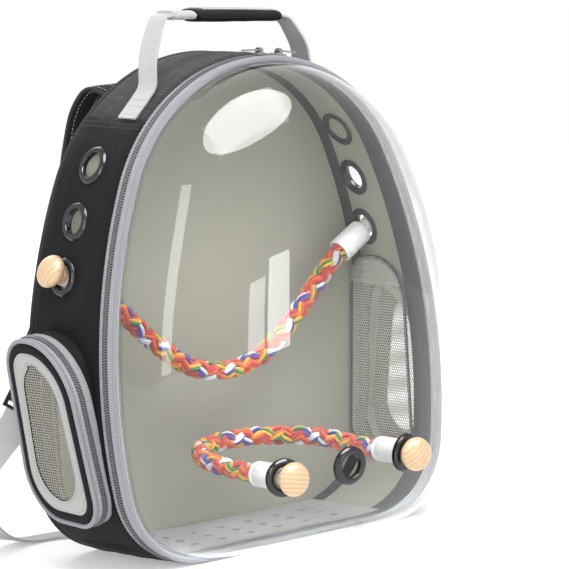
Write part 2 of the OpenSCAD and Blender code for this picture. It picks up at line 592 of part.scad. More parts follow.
// ---------- carrying handle ----------
leg_end_r = web_w / 2;
module handle_tab() {
  a0 = 90 - asin((seam_x - 4) / top_r);
  a1 = 90 - asin((handle_x + 3) / top_r);
  r0 = top_r + 0.05;
  r1 = r0 + web_t;
  foot_x = r1 * cos(a1);
  foot_z = bag_h - top_r + r0 * sin(a1);
  ears = handle_fold_z - leg_end_r - gap;
  color([0.78, 0.78, 0.8]) along_y(handle_y - web_w / 2, handle_y + web_w / 2) {
    polygon(concat([for (i = [0:6]) let (a = a0 + (a1 - a0) * i / 6) [r1 * cos(a), bag_h - top_r + r1 * sin(a)]],
      [for (i = [6:-1:0]) let (a = a0 + (a1 - a0) * i / 6) [r0 * cos(a), bag_h - top_r + r0 * sin(a)]]));
    polygon([[foot_x, foot_z], [handle_x + web_t / 2, ears], [handle_x - web_t / 2, ears],
      [handle_x - web_t / 2, bag_h - top_r + sqrt(pow(r0, 2) - pow(handle_x - web_t / 2, 2))]]);
  }
}
module handle_tabs() { both_sides() handle_tab(); }
// The moving part of the handle: two legs with round feet and a crosspiece
leg_top_x = 62;
leg_bend_r = 12;
module handle_webbing() {
  top = handle_top_z - grip_t / 2;
  color([0.8, 0.8, 0.82]) {
    intersection() {
      along_y(handle_y - web_w / 2, handle_y + web_w / 2) difference() {
        polygon(rounded([[-handle_x - web_t / 2, handle_fold_z - leg_end_r], [handle_x + web_t / 2, handle_fold_z - leg_end_r],
          [handle_x + web_t / 2, handle_fold_z], [leg_top_x + web_t, top + web_t / 2], [-leg_top_x - web_t, top + web_t / 2], [-handle_x - web_t / 2, handle_fold_z]],
          [0.2, 0.2, 60, leg_bend_r, leg_bend_r, 60]));
        polygon(rounded([[-handle_x + web_t / 2, handle_fold_z - leg_end_r - 1], [handle_x - web_t / 2, handle_fold_z - leg_end_r - 1],
          [handle_x - web_t / 2, handle_fold_z], [leg_top_x - web_t * 0.3, top - web_t / 2], [-leg_top_x + web_t * 0.3, top - web_t / 2], [-handle_x + web_t / 2, handle_fold_z]],
          [0.2, 0.2, 58, leg_bend_r - web_t, leg_bend_r - web_t, 58]));
      }
      along_x(-handle_x - 9, handle_x + 9) union() {
        translate([handle_y, handle_fold_z]) circle(r = leg_end_r);
        translate([handle_y - web_w / 2, handle_fold_z]) square([web_w, 80]);
      }
    }
  }
}
module handle_grip() {
  top = handle_top_z - grip_t / 2;
  w = web_w + 3;
  color([0.09, 0.09, 0.1]) difference() {
    along_x(grip_x - grip_l / 2, grip_x + grip_l / 2)
      translate([handle_y, top]) polygon(rounded([[-w / 2, -grip_t / 2], [w / 2, -grip_t / 2], [w / 2, grip_t / 2], [-w / 2, grip_t / 2]], [5, 5, 5, 5]));
    along_x(-100, 100) translate([handle_y - web_w / 2 - 0.1, top - web_t / 2 - 0.1]) square([web_w + 0.2, web_t + 0.2]);
  }
}

// ---------- zip sliders and their pulls ----------
// Turned to this angle on the top arc, outwards from the middle
slider_left_a = 4.5;
slider_right_a = 12.2;
slider_l = 11;
slider_w = 8.6;
bail_h = 2.5;
bail_r = 1;
slider_in = tape_in - coil_h - gap;
module on_arc(a, y) { translate([0, y, bag_h - top_r]) rotate([0, a, 0]) translate([0, 0, top_r - slider_in]) children(); }
module slider() {
  translate([-slider_l / 2, -slider_w / 2, 0]) cube([slider_l, slider_w, 1.8]);
  for (s = [-1, 1]) translate([-1.4, s * (slider_w / 2 - 0.7) - 0.7, 1.5]) cube([2.8, 1.4, bail_h + bail_r - 0.2]);
  translate([0, slider_w / 2 - 0.5, 1.8 + bail_h]) rotate([90, 0, 0]) cylinder(r = bail_r, h = slider_w - 1);
}
pull_w = slider_w - 3.4;
module pull() {
  translate([0, 0, 1.8 + bail_h]) rotate([90, 0, 0]) translate([0, 0, -pull_w / 2]) linear_extrude(pull_w) difference() {
    union() { circle(r = 2.1); translate([0, -0.7]) square([17, 1.4]); }
    circle(r = bail_r + run_gap);
  }
}
module zip_slider_right() { color([0.6, 0.6, 0.62]) on_arc(slider_right_a, split_y) slider(); }
module zip_slider_left() { color([0.6, 0.6, 0.62]) on_arc(slider_left_a, split_y) slider(); }
module zip_pull_right() { color([0.7, 0.7, 0.72]) on_arc(slider_right_a, split_y) pull(); }
module zip_pull_left() { color([0.7, 0.7, 0.72]) on_arc(slider_left_a, split_y) mirror([1, 0, 0]) pull(); }

// ---------- shoulder straps, drawn for the right side ----------
function off_back(z, d) = back_at(z) + strap_t / 2 + d;
// The pad lies on the back up to here, then bends away from it and hangs down
pad_root = [for (p = [[45, 0.4, 0], [46, 0.6, 22], [48, 4, 44]]) [p[0], off_back(strap_z + p[2], p[1]), strap_z + p[2]]];
pad_hang = [for (p = [[50, 56, 61], [54, 76, 63], [60, 90, 46], [66, 97, 15], [73, 99, -20], [82, 98, -55], [93, 96, -90],
  [108, 93, -124], [128, 92, -157], [150, 93, -187]]) [p[0], p[1], strap_z + p[2]]];
strap_route = concat(pad_root, pad_hang);
lock_h = 22;
lock_t = 4;
strap_dir = unit(last(strap_route) - strap_route[len(strap_route) - 2]);
strap_side = [1, 0.38, 0];
lock_at = last(strap_route) + strap_dir * (lock_h / 2 + gap);
web_route = concat([for (d = [gap, 10]) lock_at + strap_dir * (lock_h / 2 + d)],
  [[188, 97, 98], [200, 108, 76], [196, 124, 50], [178, 140, 24], [152, 150, 8], [124, 154, 1.6],
   [99, 150, 1.4], [83, 136, 1.4], [75, 114, 1.4], [73, 94, 1.4], [73, back_y + 2 * piping_r + 0.6, 1.4]]);
// Where the webbing turns down to the floor its width lies level
web_turn = 5;
module strap_pad() {
  n = len(strap_route) - 1;
  color([0.14, 0.14, 0.15]) sweep(strap_route, strap_section(strap_w, strap_t), [for (i = [0:n]) [1, strap_side[1] * i / n, 0]]);
}
module strap_webbing() {
  n = len(web_route) - 1;
  color([0.7, 0.7, 0.72]) sweep(web_route, flat_section(lower_web_w, web_t), [for (i = [0:n]) let (t = tangent_at(web_route, i, false))
    i < web_turn ? [1, strap_side[1] + 0.05 * i, 0] : [t[1], -t[0], 0]]);
}
module strap_pad_right() { strap_pad(); }
module strap_pad_left() { mirror([1, 0, 0]) strap_pad(); }
module strap_webbing_right() { strap_webbing(); }
module strap_webbing_left() { mirror([1, 0, 0]) strap_webbing(); }
// Ladder lock between the pad and its webbing: a frame with three bars
module ladder_lock() {
  t = strap_dir;
  b = unit(strap_side - t * (strap_side * t));
  c = cross(t, b);
  multmatrix([[b[0], c[0], t[0], lock_at[0]], [b[1], c[1], t[1], lock_at[1]], [b[2], c[2], t[2], lock_at[2]], [0, 0, 0, 1]]) difference() {
    cube([lower_web_w + 8, lock_t, lock_h], center = true);
    for (z = [-6.5, 0, 6.5]) translate([0, 0, z]) cube([lower_web_w + 1, 2 * lock_t, 3.6], center = true);
  }
}
module ladder_locks() { color([0.1, 0.1, 0.1]) both_sides() ladder_lock(); }

base_panel();
side_panel_left();
side_panel_right();
top_panel();
back_panel();
back_pad();
lining_left();
lining_right();
lining_top();
lining_back();
floor_tray();
front_binding();
back_binding();
back_piping();
body_zip_tape();
body_zip_coil();
side_grommets();
side_washers();
inner_net_left();
inner_net_right();
pod_gusset_left();
pod_gusset_right();
handle_tabs();
upper_rope();
upper_ferrules();
upper_bolts();
strap_pad_left();
strap_pad_right();
strap_webbing_left();
strap_webbing_right();
ladder_locks();
dome();
door_zip_tape();
door_zip_coil();
door_piping();
door_grommets();
door_washers();
lower_rope();
lower_ferrules();
lower_bolts();
pod_face_left();
pod_face_right();
pod_net_left();
pod_net_right();
pod_piping_left();
pod_piping_right();
pod_tape_left();
pod_tape_right();
zip_slider_left();
zip_slider_right();
zip_pull_left();
zip_pull_right();
knob_upper_left();
knob_upper_right();
knob_lower_left();
knob_lower_right();
handle_webbing();
handle_grip();
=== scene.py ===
import math

import bmesh
import bpy
import numpy as np
from mathutils import Matrix, Vector, noise

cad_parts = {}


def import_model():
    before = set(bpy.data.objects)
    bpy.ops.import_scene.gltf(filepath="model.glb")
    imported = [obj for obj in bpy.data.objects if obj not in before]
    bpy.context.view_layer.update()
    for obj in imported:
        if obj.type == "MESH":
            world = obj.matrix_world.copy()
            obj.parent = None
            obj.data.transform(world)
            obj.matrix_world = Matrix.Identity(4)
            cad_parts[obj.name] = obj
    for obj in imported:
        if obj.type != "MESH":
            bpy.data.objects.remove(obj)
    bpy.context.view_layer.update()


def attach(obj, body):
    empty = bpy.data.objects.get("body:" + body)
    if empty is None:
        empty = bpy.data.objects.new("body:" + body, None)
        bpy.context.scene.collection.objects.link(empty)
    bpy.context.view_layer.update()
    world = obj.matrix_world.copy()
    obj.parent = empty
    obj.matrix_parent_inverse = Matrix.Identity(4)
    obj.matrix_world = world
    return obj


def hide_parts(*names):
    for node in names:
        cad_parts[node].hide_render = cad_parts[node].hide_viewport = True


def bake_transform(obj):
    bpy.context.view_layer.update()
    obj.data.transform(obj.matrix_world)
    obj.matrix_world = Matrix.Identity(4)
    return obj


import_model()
MM = 0.001
bpy.context.scene.view_settings.view_transform = "Standard"
bpy.context.scene.view_settings.look = "None"

# ---------- sizes in mm, as in the part's source ----------
BAG_H, BAG_W, BASE_D, BACK_LEAN = 420.0, 350.0, 136.0, 33.0
TOP_R, SIDE_R, CORNER_R, SEAM_X = 150.0, 500.0, 76.0, 106.0
SIDE_CX = BAG_W / 2 - SIDE_R
TOP_CZ = BAG_H - TOP_R
SIDE_CZ = TOP_CZ - math.sqrt((SIDE_R - TOP_R) ** 2 - SIDE_CX**2)
TOP_A = math.atan2(TOP_CZ - SIDE_CZ, -SIDE_CX)
CORNER_X = SIDE_CX + math.sqrt((SIDE_R - CORNER_R) ** 2 - (SIDE_CZ - CORNER_R) ** 2)
LOW_A = math.atan2(CORNER_R - SIDE_CZ, CORNER_X - SIDE_CX)
RING_Y = -BASE_D / 2
BORDER_Y = RING_Y + 22
PIPE_R = 2.6
SPLIT_Y = BORDER_Y - (22 - 2 * PIPE_R) / 2 + 0.3
PIPE_Y = RING_Y + PIPE_R - 0.2
PIPE_IN = PIPE_R + 0.6
FABRIC_T, WALL_T = 2.0, 3.0
BACK_IN = 11.0
SIDES = (("right", 1), ("left", -1))
LEN = [
    CORNER_X,
    CORNER_R * (LOW_A + math.pi / 2),
    SIDE_R * (TOP_A - LOW_A),
    TOP_R * (math.pi / 2 - TOP_A),
]
HALF = sum(LEN)
FULL = 2 * HALF
T_CORNER, T_SIDE, T_TOP = LEN[0], LEN[0] + LEN[1], sum(LEN[:3])
T_SEAM = T_TOP + TOP_R * (math.acos(SEAM_X / TOP_R) - TOP_A)


def outline(t, inset=0.0):
    """Points (x, z) and outward normals of the outline, t mm along it from the floor's middle, rightwards"""
    t = np.mod(np.asarray(t, float), FULL)
    flip = np.where(t > HALF, -1.0, 1.0)
    t = np.minimum(t, FULL - t)
    a_corner = -math.pi / 2 + (t - T_CORNER) / CORNER_R
    a_side = LOW_A + (t - T_SIDE) / SIDE_R
    a_top = TOP_A + (t - T_TOP) / TOP_R
    spans = [t < T_CORNER, t < T_SIDE, t < T_TOP]
    a = np.select(spans, [np.full_like(t, -math.pi / 2), a_corner, a_side], a_top)
    cx = np.select(spans, [t, CORNER_X, SIDE_CX], 0.0)
    cz = np.select(spans, [CORNER_R, CORNER_R, SIDE_CZ], TOP_CZ)
    r = np.select(spans, [CORNER_R, CORNER_R, SIDE_R], TOP_R)
    n = np.stack([np.cos(a) * flip, np.sin(a)], -1)
    p = np.stack([(cx + (r - inset) * np.cos(a)) * flip, cz + (r - inset) * np.sin(a)], -1)
    return p, n


def half_w(z, inset=0.0):
    """Half the bag's width at a height"""
    z = np.asarray(z, float)
    top = np.sqrt(np.maximum(0, (TOP_R - inset) ** 2 - (z - TOP_CZ) ** 2))
    low = CORNER_X + np.sqrt(np.maximum(0, (CORNER_R - inset) ** 2 - (z - CORNER_R) ** 2))
    side = SIDE_CX + np.sqrt((SIDE_R - inset) ** 2 - (z - SIDE_CZ) ** 2)
    return np.where(z > TOP_CZ + (TOP_R - inset) * math.sin(TOP_A), top,
                    np.where(z < CORNER_R + (CORNER_R - inset) * math.sin(LOW_A), low, side))


def wall_a(z):
    """The outward angle of the wall at a height"""
    if z > TOP_CZ + TOP_R * math.sin(TOP_A):
        return math.asin((z - TOP_CZ) / TOP_R)
    return math.asin((z - SIDE_CZ) / SIDE_R)


def back_at(z):
    """How far back the leaning back face stands at a height"""
    return BASE_D / 2 - BACK_LEAN * np.asarray(z, float) / BAG_H


def xyz(x, y, z):
    """Points from their coordinates, any of which may be one number for all"""
    return np.stack(np.broadcast_arrays(x, y, z), -1)


def outline_at(t, inset, y):
    """Points in space along the outline, inset, at the depth y"""
    q, _ = outline(t, inset)
    return xyz(q[:, 0], y, q[:, 1])


# ---------- camera ----------
AIM_RIGHT, AIM_UP, DISTANCE = 10.896, 13.197, 4254.12
FOCAL_PX, PHOTO_PX, SENSOR = 5001.2, 569, 36
AZ, EL, ROLL = math.radians(-36.374), math.radians(7.881), math.radians(-4.406)
back = Vector((math.sin(AZ) * math.cos(EL), -math.cos(AZ) * math.cos(EL), math.sin(EL)))
right = Vector((math.cos(AZ), math.sin(AZ), 0))
up = back.cross(right)
target = Vector((0, -62.5, 210)) + right * AIM_RIGHT + up * AIM_UP
cam = bpy.data.objects.new("camera", bpy.data.cameras.new("camera"))
bpy.context.scene.collection.objects.link(cam)
x_axis = right * math.cos(ROLL) + up * math.sin(ROLL)
y_axis = up * math.cos(ROLL) - right * math.sin(ROLL)
place = Matrix((x_axis, y_axis, back)).transposed().to_4x4()
place.translation = (target + back * DISTANCE) * MM
cam.matrix_world = place
cam.data.lens = FOCAL_PX / PHOTO_PX * SENSOR
cam.data.clip_start, cam.data.clip_end = 0.1, 50
bpy.context.scene.camera = cam


# ---------- materials ----------
class Paint:
    """A procedural material, with short ways to add nodes"""

    def __init__(self, name, rough=0.6, **sockets):
        self.m = bpy.data.materials.new(name)
        self.m.use_nodes = True
        self.t = self.m.node_tree
        self.b = self.t.nodes["Principled BSDF"]
        self.set(self.b, {"Roughness": rough, **{k.replace("_", " "): v for k, v in sockets.items()}})

    def set(self, node, values):
        for k, v in values.items():
            s = node.inputs[k]
            if isinstance(v, bpy.types.NodeSocket):
                self.t.links.new(v, s)
            elif isinstance(v, tuple) and len(v) == 3 and s.type == "RGBA":
                s.default_value = (*v, 1)
            else:
                s.default_value = v

    def add(self, kind, values=None, out=0, **props):
        n = self.t.nodes.new("ShaderNode" + kind)
        for k, v in props.items():
            setattr(n, k, v)
        self.set(n, values or {})
        return n.outputs[out]

    def math(self, op, a, b=0.0, c=0.0):
        return self.add("Math", {0: a, 1: b, 2: c}, operation=op)

    def ramp(self, fac, stops):
        n = self.t.nodes.new("ShaderNodeValToRGB")
        e = n.color_ramp.elements
        while len(e) < len(stops):
            e.new(0.5)
        for k, (p, c) in zip(e, stops):
            k.position, k.color = p, (*c, 1)
        self.t.links.new(fac, n.inputs[0])
        return n.outputs[0]

    def uv(self, name="metric"):
        n = self.t.nodes.new("ShaderNodeUVMap")
        n.uv_map = name
        s = self.t.nodes.new("ShaderNodeSeparateXYZ")
        self.t.links.new(n.outputs[0], s.inputs[0])
        return s.outputs[0], s.outputs[1], n.outputs[0]

    def coords(self):
        return self.add("TexCoord", out=3)

    def noise(self, scale, where=None, detail=3.0, rough=0.5):
        return self.add("TexNoise", {"Vector": where or self.coords(), "Scale": scale, "Detail": detail,
            "Roughness": rough})

    def wave(self, u, pitch_mm, phase=0.0):
        """A sine from 0 to 1 along a metric coordinate"""
        s = self.math("SINE", self.math("MULTIPLY_ADD", u, 2 * math.pi / (pitch_mm * MM), phase))
        return self.math("MULTIPLY_ADD", s, 0.5, 0.5)

    def bump(self, height, distance_mm, strength=1.0):
        return self.add("Bump", {"Height": height, "Distance": distance_mm * MM, "Strength": strength})

    def end(self, **values):
        self.set(self.b, {k.replace("_", " "): v for k, v in values.items()})
        return self.m


def weave(name, dark, light, pitch=0.9, rough=0.75, depth=0.12, streak=0.0, sheen=0.03, cloud=0.25,
        gloss=0.15):
    """Plain-woven cloth: threads both ways with painted shade where they sink, a slow change of tone and, if
    asked, slubs along one way
    """
    p = Paint(name, rough, Sheen_Weight=sheen, Sheen_Roughness=0.5, Specular_IOR_Level=gloss)
    u, v, uv = p.uv()
    a, b = p.wave(u, pitch), p.wave(v, pitch)
    checks = p.math("MULTIPLY", p.math("SUBTRACT", a, 0.5), p.math("SUBTRACT", b, 0.5))
    height = p.math("MULTIPLY_ADD", checks, 2.0, 0.5)
    # the tone follows the threads' height: painted shade on the sunken threads, plus a slow random change of
    # tone
    tone = p.math("MULTIPLY_ADD", p.math("SUBTRACT", height, 0.5), 0.5,
        p.math("MULTIPLY", p.noise(14), cloud))
    if streak:
        stretched = p.add("Mapping", {"Vector": uv, "Scale": (900, 60, 1)})
        slub = p.add("TexNoise", {"Vector": stretched, "Scale": 1.0, "Detail": 2.0})
        tone = p.math("MULTIPLY_ADD", p.math("SUBTRACT", slub, 0.5), streak, tone)
        height = p.math("ADD", height, slub)
    fine = p.noise(900, detail=2)
    tone = p.math("MULTIPLY_ADD", p.math("SUBTRACT", fine, 0.5), 0.35, tone)
    return p.end(Base_Color=p.ramp(tone, [(0.0, dark), (0.55, light)]), Normal=p.bump(height, depth, 0.7))


def ribbed(name, dark, light, pitch=1.7, rough=0.7, depth=0.35):
    """Webbing or tape: ribs across its length with painted shade in the grooves between them, finer threads
    along it
    """
    p = Paint(name, rough, Sheen_Weight=0.05, Sheen_Roughness=0.4, Specular_IOR_Level=0.2)
    u, v, _ = p.uv()
    ribs = p.wave(u, pitch)
    threads = p.wave(v, pitch * 0.9, 1.0)
    height = p.math("MULTIPLY_ADD", threads, 0.35, ribs)
    # the tone follows the ribs' height: painted shade in the grooves, plus the tape's own uneven tone from
    # the noise
    tone = p.math("MULTIPLY_ADD", height, 0.45, p.math("MULTIPLY", p.noise(40), 0.35))
    return p.end(Base_Color=p.ramp(tone, [(0.1, dark), (0.75, light)]), Normal=p.bump(height, depth, 0.8))


BLACK = weave("black_nylon", (0.006, 0.006, 0.008), (0.014, 0.014, 0.018), 1.6, 0.7, sheen=0.015)
TOPCLOTH = weave("top_oxford", (0.022, 0.023, 0.027), (0.085, 0.086, 0.094), 1.5, 0.68, 0.3, streak=1.3)
LINING = weave("lining_cloth", (0.29, 0.277, 0.228), (0.37, 0.356, 0.3), 0.8, 0.7, 0.06)
BIND = weave("binding_cloth", (0.03, 0.03, 0.034), (0.075, 0.075, 0.082), 1.2, 0.7, 0.2)
TAPE = weave("zip_tape_cloth", (0.42, 0.42, 0.44), (0.62, 0.62, 0.65), 1.1, 0.75, 0.2)
PIPING = weave("piping_cloth", (0.3, 0.3, 0.335), (0.44, 0.44, 0.48), 0.9, 0.55, 0.12, sheen=0.3)
BORDER = weave("border_cloth", (0.5, 0.5, 0.49), (0.72, 0.72, 0.7), 1.3, 0.8, 0.3)
WEB = ribbed("webbing_cloth", (0.5, 0.5, 0.52), (0.74, 0.74, 0.76), 1.15, 0.7, 0.16)
GRIP = weave("grip_cloth", (0.005, 0.005, 0.007), (0.016, 0.016, 0.02), 1.5, 0.65, 0.2, sheen=0.02)
PADCLOTH = weave("pad_mesh_cloth", (0.008, 0.008, 0.01), (0.04, 0.04, 0.045), 2.2, 0.8, 0.5)


def plain(name, colour, rough, mottle=0.06, bump=0.03, scale=120, **more):
    """A moulded or coated surface: faint mottle, fine grain"""
    p = Paint(name, rough, **more)
    n = p.noise(scale, detail=4)
    dark = tuple(c * (1 - mottle) for c in colour)
    light = tuple(min(1, c * (1 + mottle)) for c in colour)
    r = p.math("MULTIPLY_ADD", p.noise(scale / 3), 0.12, rough - 0.06)
    return p.end(Base_Color=p.ramp(n, [(0.3, dark), (0.7, light)]), Roughness=r, Normal=p.bump(n, bump, 0.5))


COIL = [plain("coil_base", (0.03, 0.03, 0.034), 0.6), plain("coil_nylon", (0.26, 0.26, 0.28), 0.4)]
THREAD_GREY = plain("thread_grey", (0.45, 0.45, 0.47), 0.6)
THREAD_DARK = plain("thread_dark", (0.05, 0.05, 0.055), 0.6)
THREAD_PALE = plain("thread_pale", (0.6, 0.6, 0.6), 0.6)
WHITE = plain("white_plastic", (0.8, 0.8, 0.8), 0.3, 0.02, 0.01)
BUCKLE = plain("buckle_plastic", (0.015, 0.015, 0.017), 0.35)
TRAY = plain("tray_plastic", (0.33, 0.33, 0.33), 0.45, 0.05, 0.05, 60)
GUN = plain("gunmetal_plate", (0.055, 0.055, 0.06), 0.14, 0.05, 0.004, Metallic=0.9)
STEEL = plain("zinc_alloy", (0.32, 0.32, 0.33), 0.28, 0.08, 0.02, Metallic=1.0)
ROD = plain("rod_steel", (0.6, 0.6, 0.62), 0.3, 0.05, 0.01, Metallic=1.0)


def clear_sheet():
    """Clear sheet that lets lamps through, so that its shadow stays faint"""
    p = Paint("clear_sheet", 0.015, Base_Color=(0.93, 0.945, 0.945), IOR=1.38, Transmission_Weight=1.0)
    p.set(p.b, {"Normal": p.bump(p.noise(9, detail=1), 0.25, 0.35)})
    through = p.add("BsdfTransparent", {"Color": (0.93, 0.94, 0.94)})
    shadow = p.add("LightPath", out=1)
    both = p.add("MixShader", {0: shadow, 1: p.b.outputs[0], 2: through})
    p.t.links.new(both, p.t.nodes["Material Output"].inputs[0])
    return p.m


CLEAR = clear_sheet()


def wood():
    p = Paint("knob_wood", 0.42, Coat_Weight=0.25, Coat_Roughness=0.3)
    c = p.coords()
    warped = p.add("Mapping", {"Vector": c, "Location": (0.021, 0.004, 0.0), "Rotation": (1.35, 0.25, 0.1),
        "Scale": (1, 1, 0.3)})
    rings = p.add("TexWave", {"Vector": warped, "Scale": 85.0, "Distortion": 2.2, "Detail": 2.0,
        "Detail Scale": 1.2},
                  wave_type="RINGS", rings_direction="Z", wave_profile="SAW")
    fibre = p.noise(1, p.add("Mapping", {"Vector": c, "Scale": (900, 900, 90)}), 3)
    tone = p.math("MULTIPLY_ADD", p.math("SUBTRACT", fibre, 0.5), 0.35, p.math("MULTIPLY", rings, 0.8))
    colour = p.ramp(tone, [(0.0, (0.86, 0.64, 0.4)), (0.5, (0.8, 0.55, 0.32)), (0.95, (0.62, 0.38, 0.19))])
    return p.end(Base_Color=colour, Normal=p.bump(fibre, 0.04, 0.5))


WOOD = wood()


# ---------- mesh helpers, all in mm ----------
def new_object(name, verts, faces, mat, body, slot, smooth=38, uv=None, replaces=(), place=None, weld=0.0,
        index=None):
    me = bpy.data.meshes.new(name)
    v = np.asarray(verts, float).reshape(-1, 3) * MM
    me.from_pydata(v.tolist(), [], [list(map(int, f)) for f in faces])
    if uv is not None:
        layer = me.uv_layers.new(name="metric")
        loops = np.zeros(len(me.loops), np.int32)
        me.loops.foreach_get("vertex_index", loops)
        layer.data.foreach_set("uv", (np.asarray(uv, float)[loops] * MM).astype(np.float32).ravel())
    if index is not None:
        me.polygons.foreach_set("material_index", np.asarray(index, np.int32))
    bm = bmesh.new()
    bm.from_mesh(me)
    if weld:
        bmesh.ops.remove_doubles(bm, verts=bm.verts, dist=weld * MM)
    bmesh.ops.recalc_face_normals(bm, faces=bm.faces)
    bm.to_mesh(me)
    bm.free()
    me.shade_smooth()
    if smooth < 180:
        me.set_sharp_from_angle(angle=math.radians(smooth))
    for m in mat if isinstance(mat, list) else [mat]:
        me.materials.append(m)
    me.update()
    o = bpy.data.objects.new(name, me)
    bpy.context.scene.collection.objects.link(o)
    if place is not None:
        o.matrix_world = place
    if body:
        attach(o, body)
    if replaces:
        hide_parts(*replaces)
    return o


def grid_faces(nu, nv, closed_u=False, closed_v=False, flip=False):
    i, j = np.meshgrid(np.arange(nu if closed_u else nu - 1), np.arange(nv if closed_v else nv - 1),
        indexing="ij")
    i2, j2 = (i + 1) % nu, (j + 1) % nv
    f = np.stack([i * nv + j, i2 * nv + j, i2 * nv + j2, i * nv + j2], -1).reshape(-1, 4)
    return f[:, ::-1] if flip else f


def lengths(p):
    """How far along a row of points each of them lies"""
    return np.concatenate([[0], np.cumsum(np.linalg.norm(np.diff(p, axis=0), axis=1))])


def spread(at, known, values):
    """Values given at known distances, read at others"""
    return np.stack([np.interp(at, known, values[:, k]) for k in range(values.shape[1])], -1)


def ends(n, m):
    """The two closing faces of a tube made of n rings of m points"""
    return [list(range(m - 1, -1, -1)), [(n - 1) * m + j for j in range(m)]]


def metric_uv(p):
    """Lengths along both ways of a grid of points"""
    du = np.linalg.norm(np.diff(p, axis=0), axis=2).mean(1)
    dv = np.linalg.norm(np.diff(p, axis=1), axis=2).mean(0)
    u = np.concatenate([[0], np.cumsum(du)])
    v = np.concatenate([[0], np.cumsum(dv)])
    return np.stack(np.meshgrid(u, v, indexing="ij"), -1).reshape(-1, 2)


def slab(outer, inner):
    """A closed solid between two grids of points: vertices, faces and lengths"""
    nu, nv = outer.shape[:2]
    n = nu * nv
    f = grid_faces(nu, nv)
    g = grid_faces(nu, nv, flip=True) + n
    rim = [i * nv for i in range(nu)] + [(nu - 1) * nv + j for j in range(1, nv)]
    rim += [i * nv + nv - 1 for i in range(nu - 2, -1, -1)] + list(range(nv - 2, 0, -1))
    walls = [[a, a + n, b + n, b] for a, b in zip(rim, rim[1:] + rim[:1])]
    uv = metric_uv(outer)
    points = np.concatenate([outer.reshape(-1, 3), inner.reshape(-1, 3)])
    return points, [*f.tolist(), *g.tolist(), *walls], np.concatenate([uv, uv])


def ring(section, t0=0.0, t1=FULL, step=4.0):
    """A closed section of (inset, y) points carried along the bag's outline: vertices, faces and lengths"""
    closed = t1 - t0 > FULL - 1e-6
    n = max(2, int(round((t1 - t0) / step)))
    t = np.linspace(t0, t1, n, endpoint=False) if closed else np.linspace(t0, t1, n)
    s = np.asarray(section, float)
    p = np.stack([outline_at(t, inset, y) for inset, y in s], 1)
    f = grid_faces(n, len(s), closed, True).tolist()
    if not closed:
        f += ends(n, len(s))
    along = np.repeat(t - t0, len(s))
    around = np.tile(lengths(s), n)
    return p.reshape(-1, 3), f, np.stack([along, around], -1)


def join(*parts):
    """Several (vertices, faces, lengths) as one"""
    v, f, u, n = [], [], [], 0
    for pv, pf, pu in parts:
        v.append(np.asarray(pv, float).reshape(-1, 3))
        f += [[int(k) + n for k in face] for face in pf]
        u.append(np.asarray(pu, float).reshape(-1, 2))
        n += len(v[-1])
    return np.concatenate(v), f, np.concatenate(u)


def piece(name, part, *looks, **more):
    """An object from a part of (vertices, faces, lengths)"""
    v, f, u = part
    return new_object(name, v, f, *looks, uv=u, **more)


def bare_piece(name, part, *looks, **more):
    """An object from a part whose material needs no lengths"""
    v, f, _ = part
    return new_object(name, v, f, *looks, **more)


def coil_piece(name, base, teeth, body, **more):
    """A zip's base strip and its loops, each in its own material"""
    index = [0] * len(base[1]) + [1] * len(teeth[1])
    return bare_piece(name, join(base, teeth), COIL, body, "zip_coil", index=index, **more)


def circle(r, n=12, inset=0.0, y=0.0):
    a = np.linspace(0, 2 * math.pi, n, endpoint=False)
    return [(inset + r * math.cos(k), y + r * math.sin(k)) for k in a]


def soft_box(in0, in1, y0, y1, r=0.4):
    """A rectangular section with round corners, in (inset, y)"""
    out = []
    for cx, cy, a0 in ((in1 - r, y1 - r, 0), (in0 + r, y1 - r, 90), (in0 + r, y0 + r, 180),
            (in1 - r, y0 + r, 270)):
        out += [(cx + r * math.cos(math.radians(a0 + k)), cy + r * math.sin(math.radians(a0 + k)))
            for k in (0, 45, 90)]
    return out


def frames(points, side=None, closed=False):
    """Tangents and two square directions along a path; the first is as close to side as it can be"""
    p = np.asarray(points, float)
    if closed:
        t = np.roll(p, -1, 0) - np.roll(p, 1, 0)
    else:
        t = np.gradient(p, axis=0)
    t /= np.linalg.norm(t, axis=1)[:, None]
    if side is None:
        a = np.zeros_like(p)
        v = np.cross(t[0], [0.31, 0.87, 0.4])
        for i in range(len(p)):
            v = v - t[i] * (v @ t[i])
            v /= np.linalg.norm(v)
            a[i] = v
    else:
        s = np.broadcast_to(np.asarray(side, float), p.shape)
        a = s - t * (s * t).sum(1)[:, None]
        a /= np.linalg.norm(a, axis=1)[:, None]
    return t, a, np.cross(t, a)


def sweep(points, section, side=None, closed=False, scale=None, caps=True):
    """A section of (a, b) points carried along a path: vertices, faces and lengths"""
    p = np.asarray(points, float)
    s = np.asarray(section, float)
    _, a, b = frames(p, side, closed)
    k = np.ones((len(p), 2)) if scale is None else np.asarray(scale, float)
    v = p[:, None] + a[:, None] * (s[None, :, :1] * k[:, None, :1]) + b[:,
        None] * (s[None, :, 1:] * k[:, None, 1:])
    f = grid_faces(len(p), len(s), closed, True).tolist()
    if caps and not closed:
        f += ends(len(p), len(s))
    along = lengths(p)
    around = lengths(s)
    uv = np.stack(np.meshgrid(along, around, indexing="ij"), -1).reshape(-1, 2)
    return v.reshape(-1, 3), f, uv


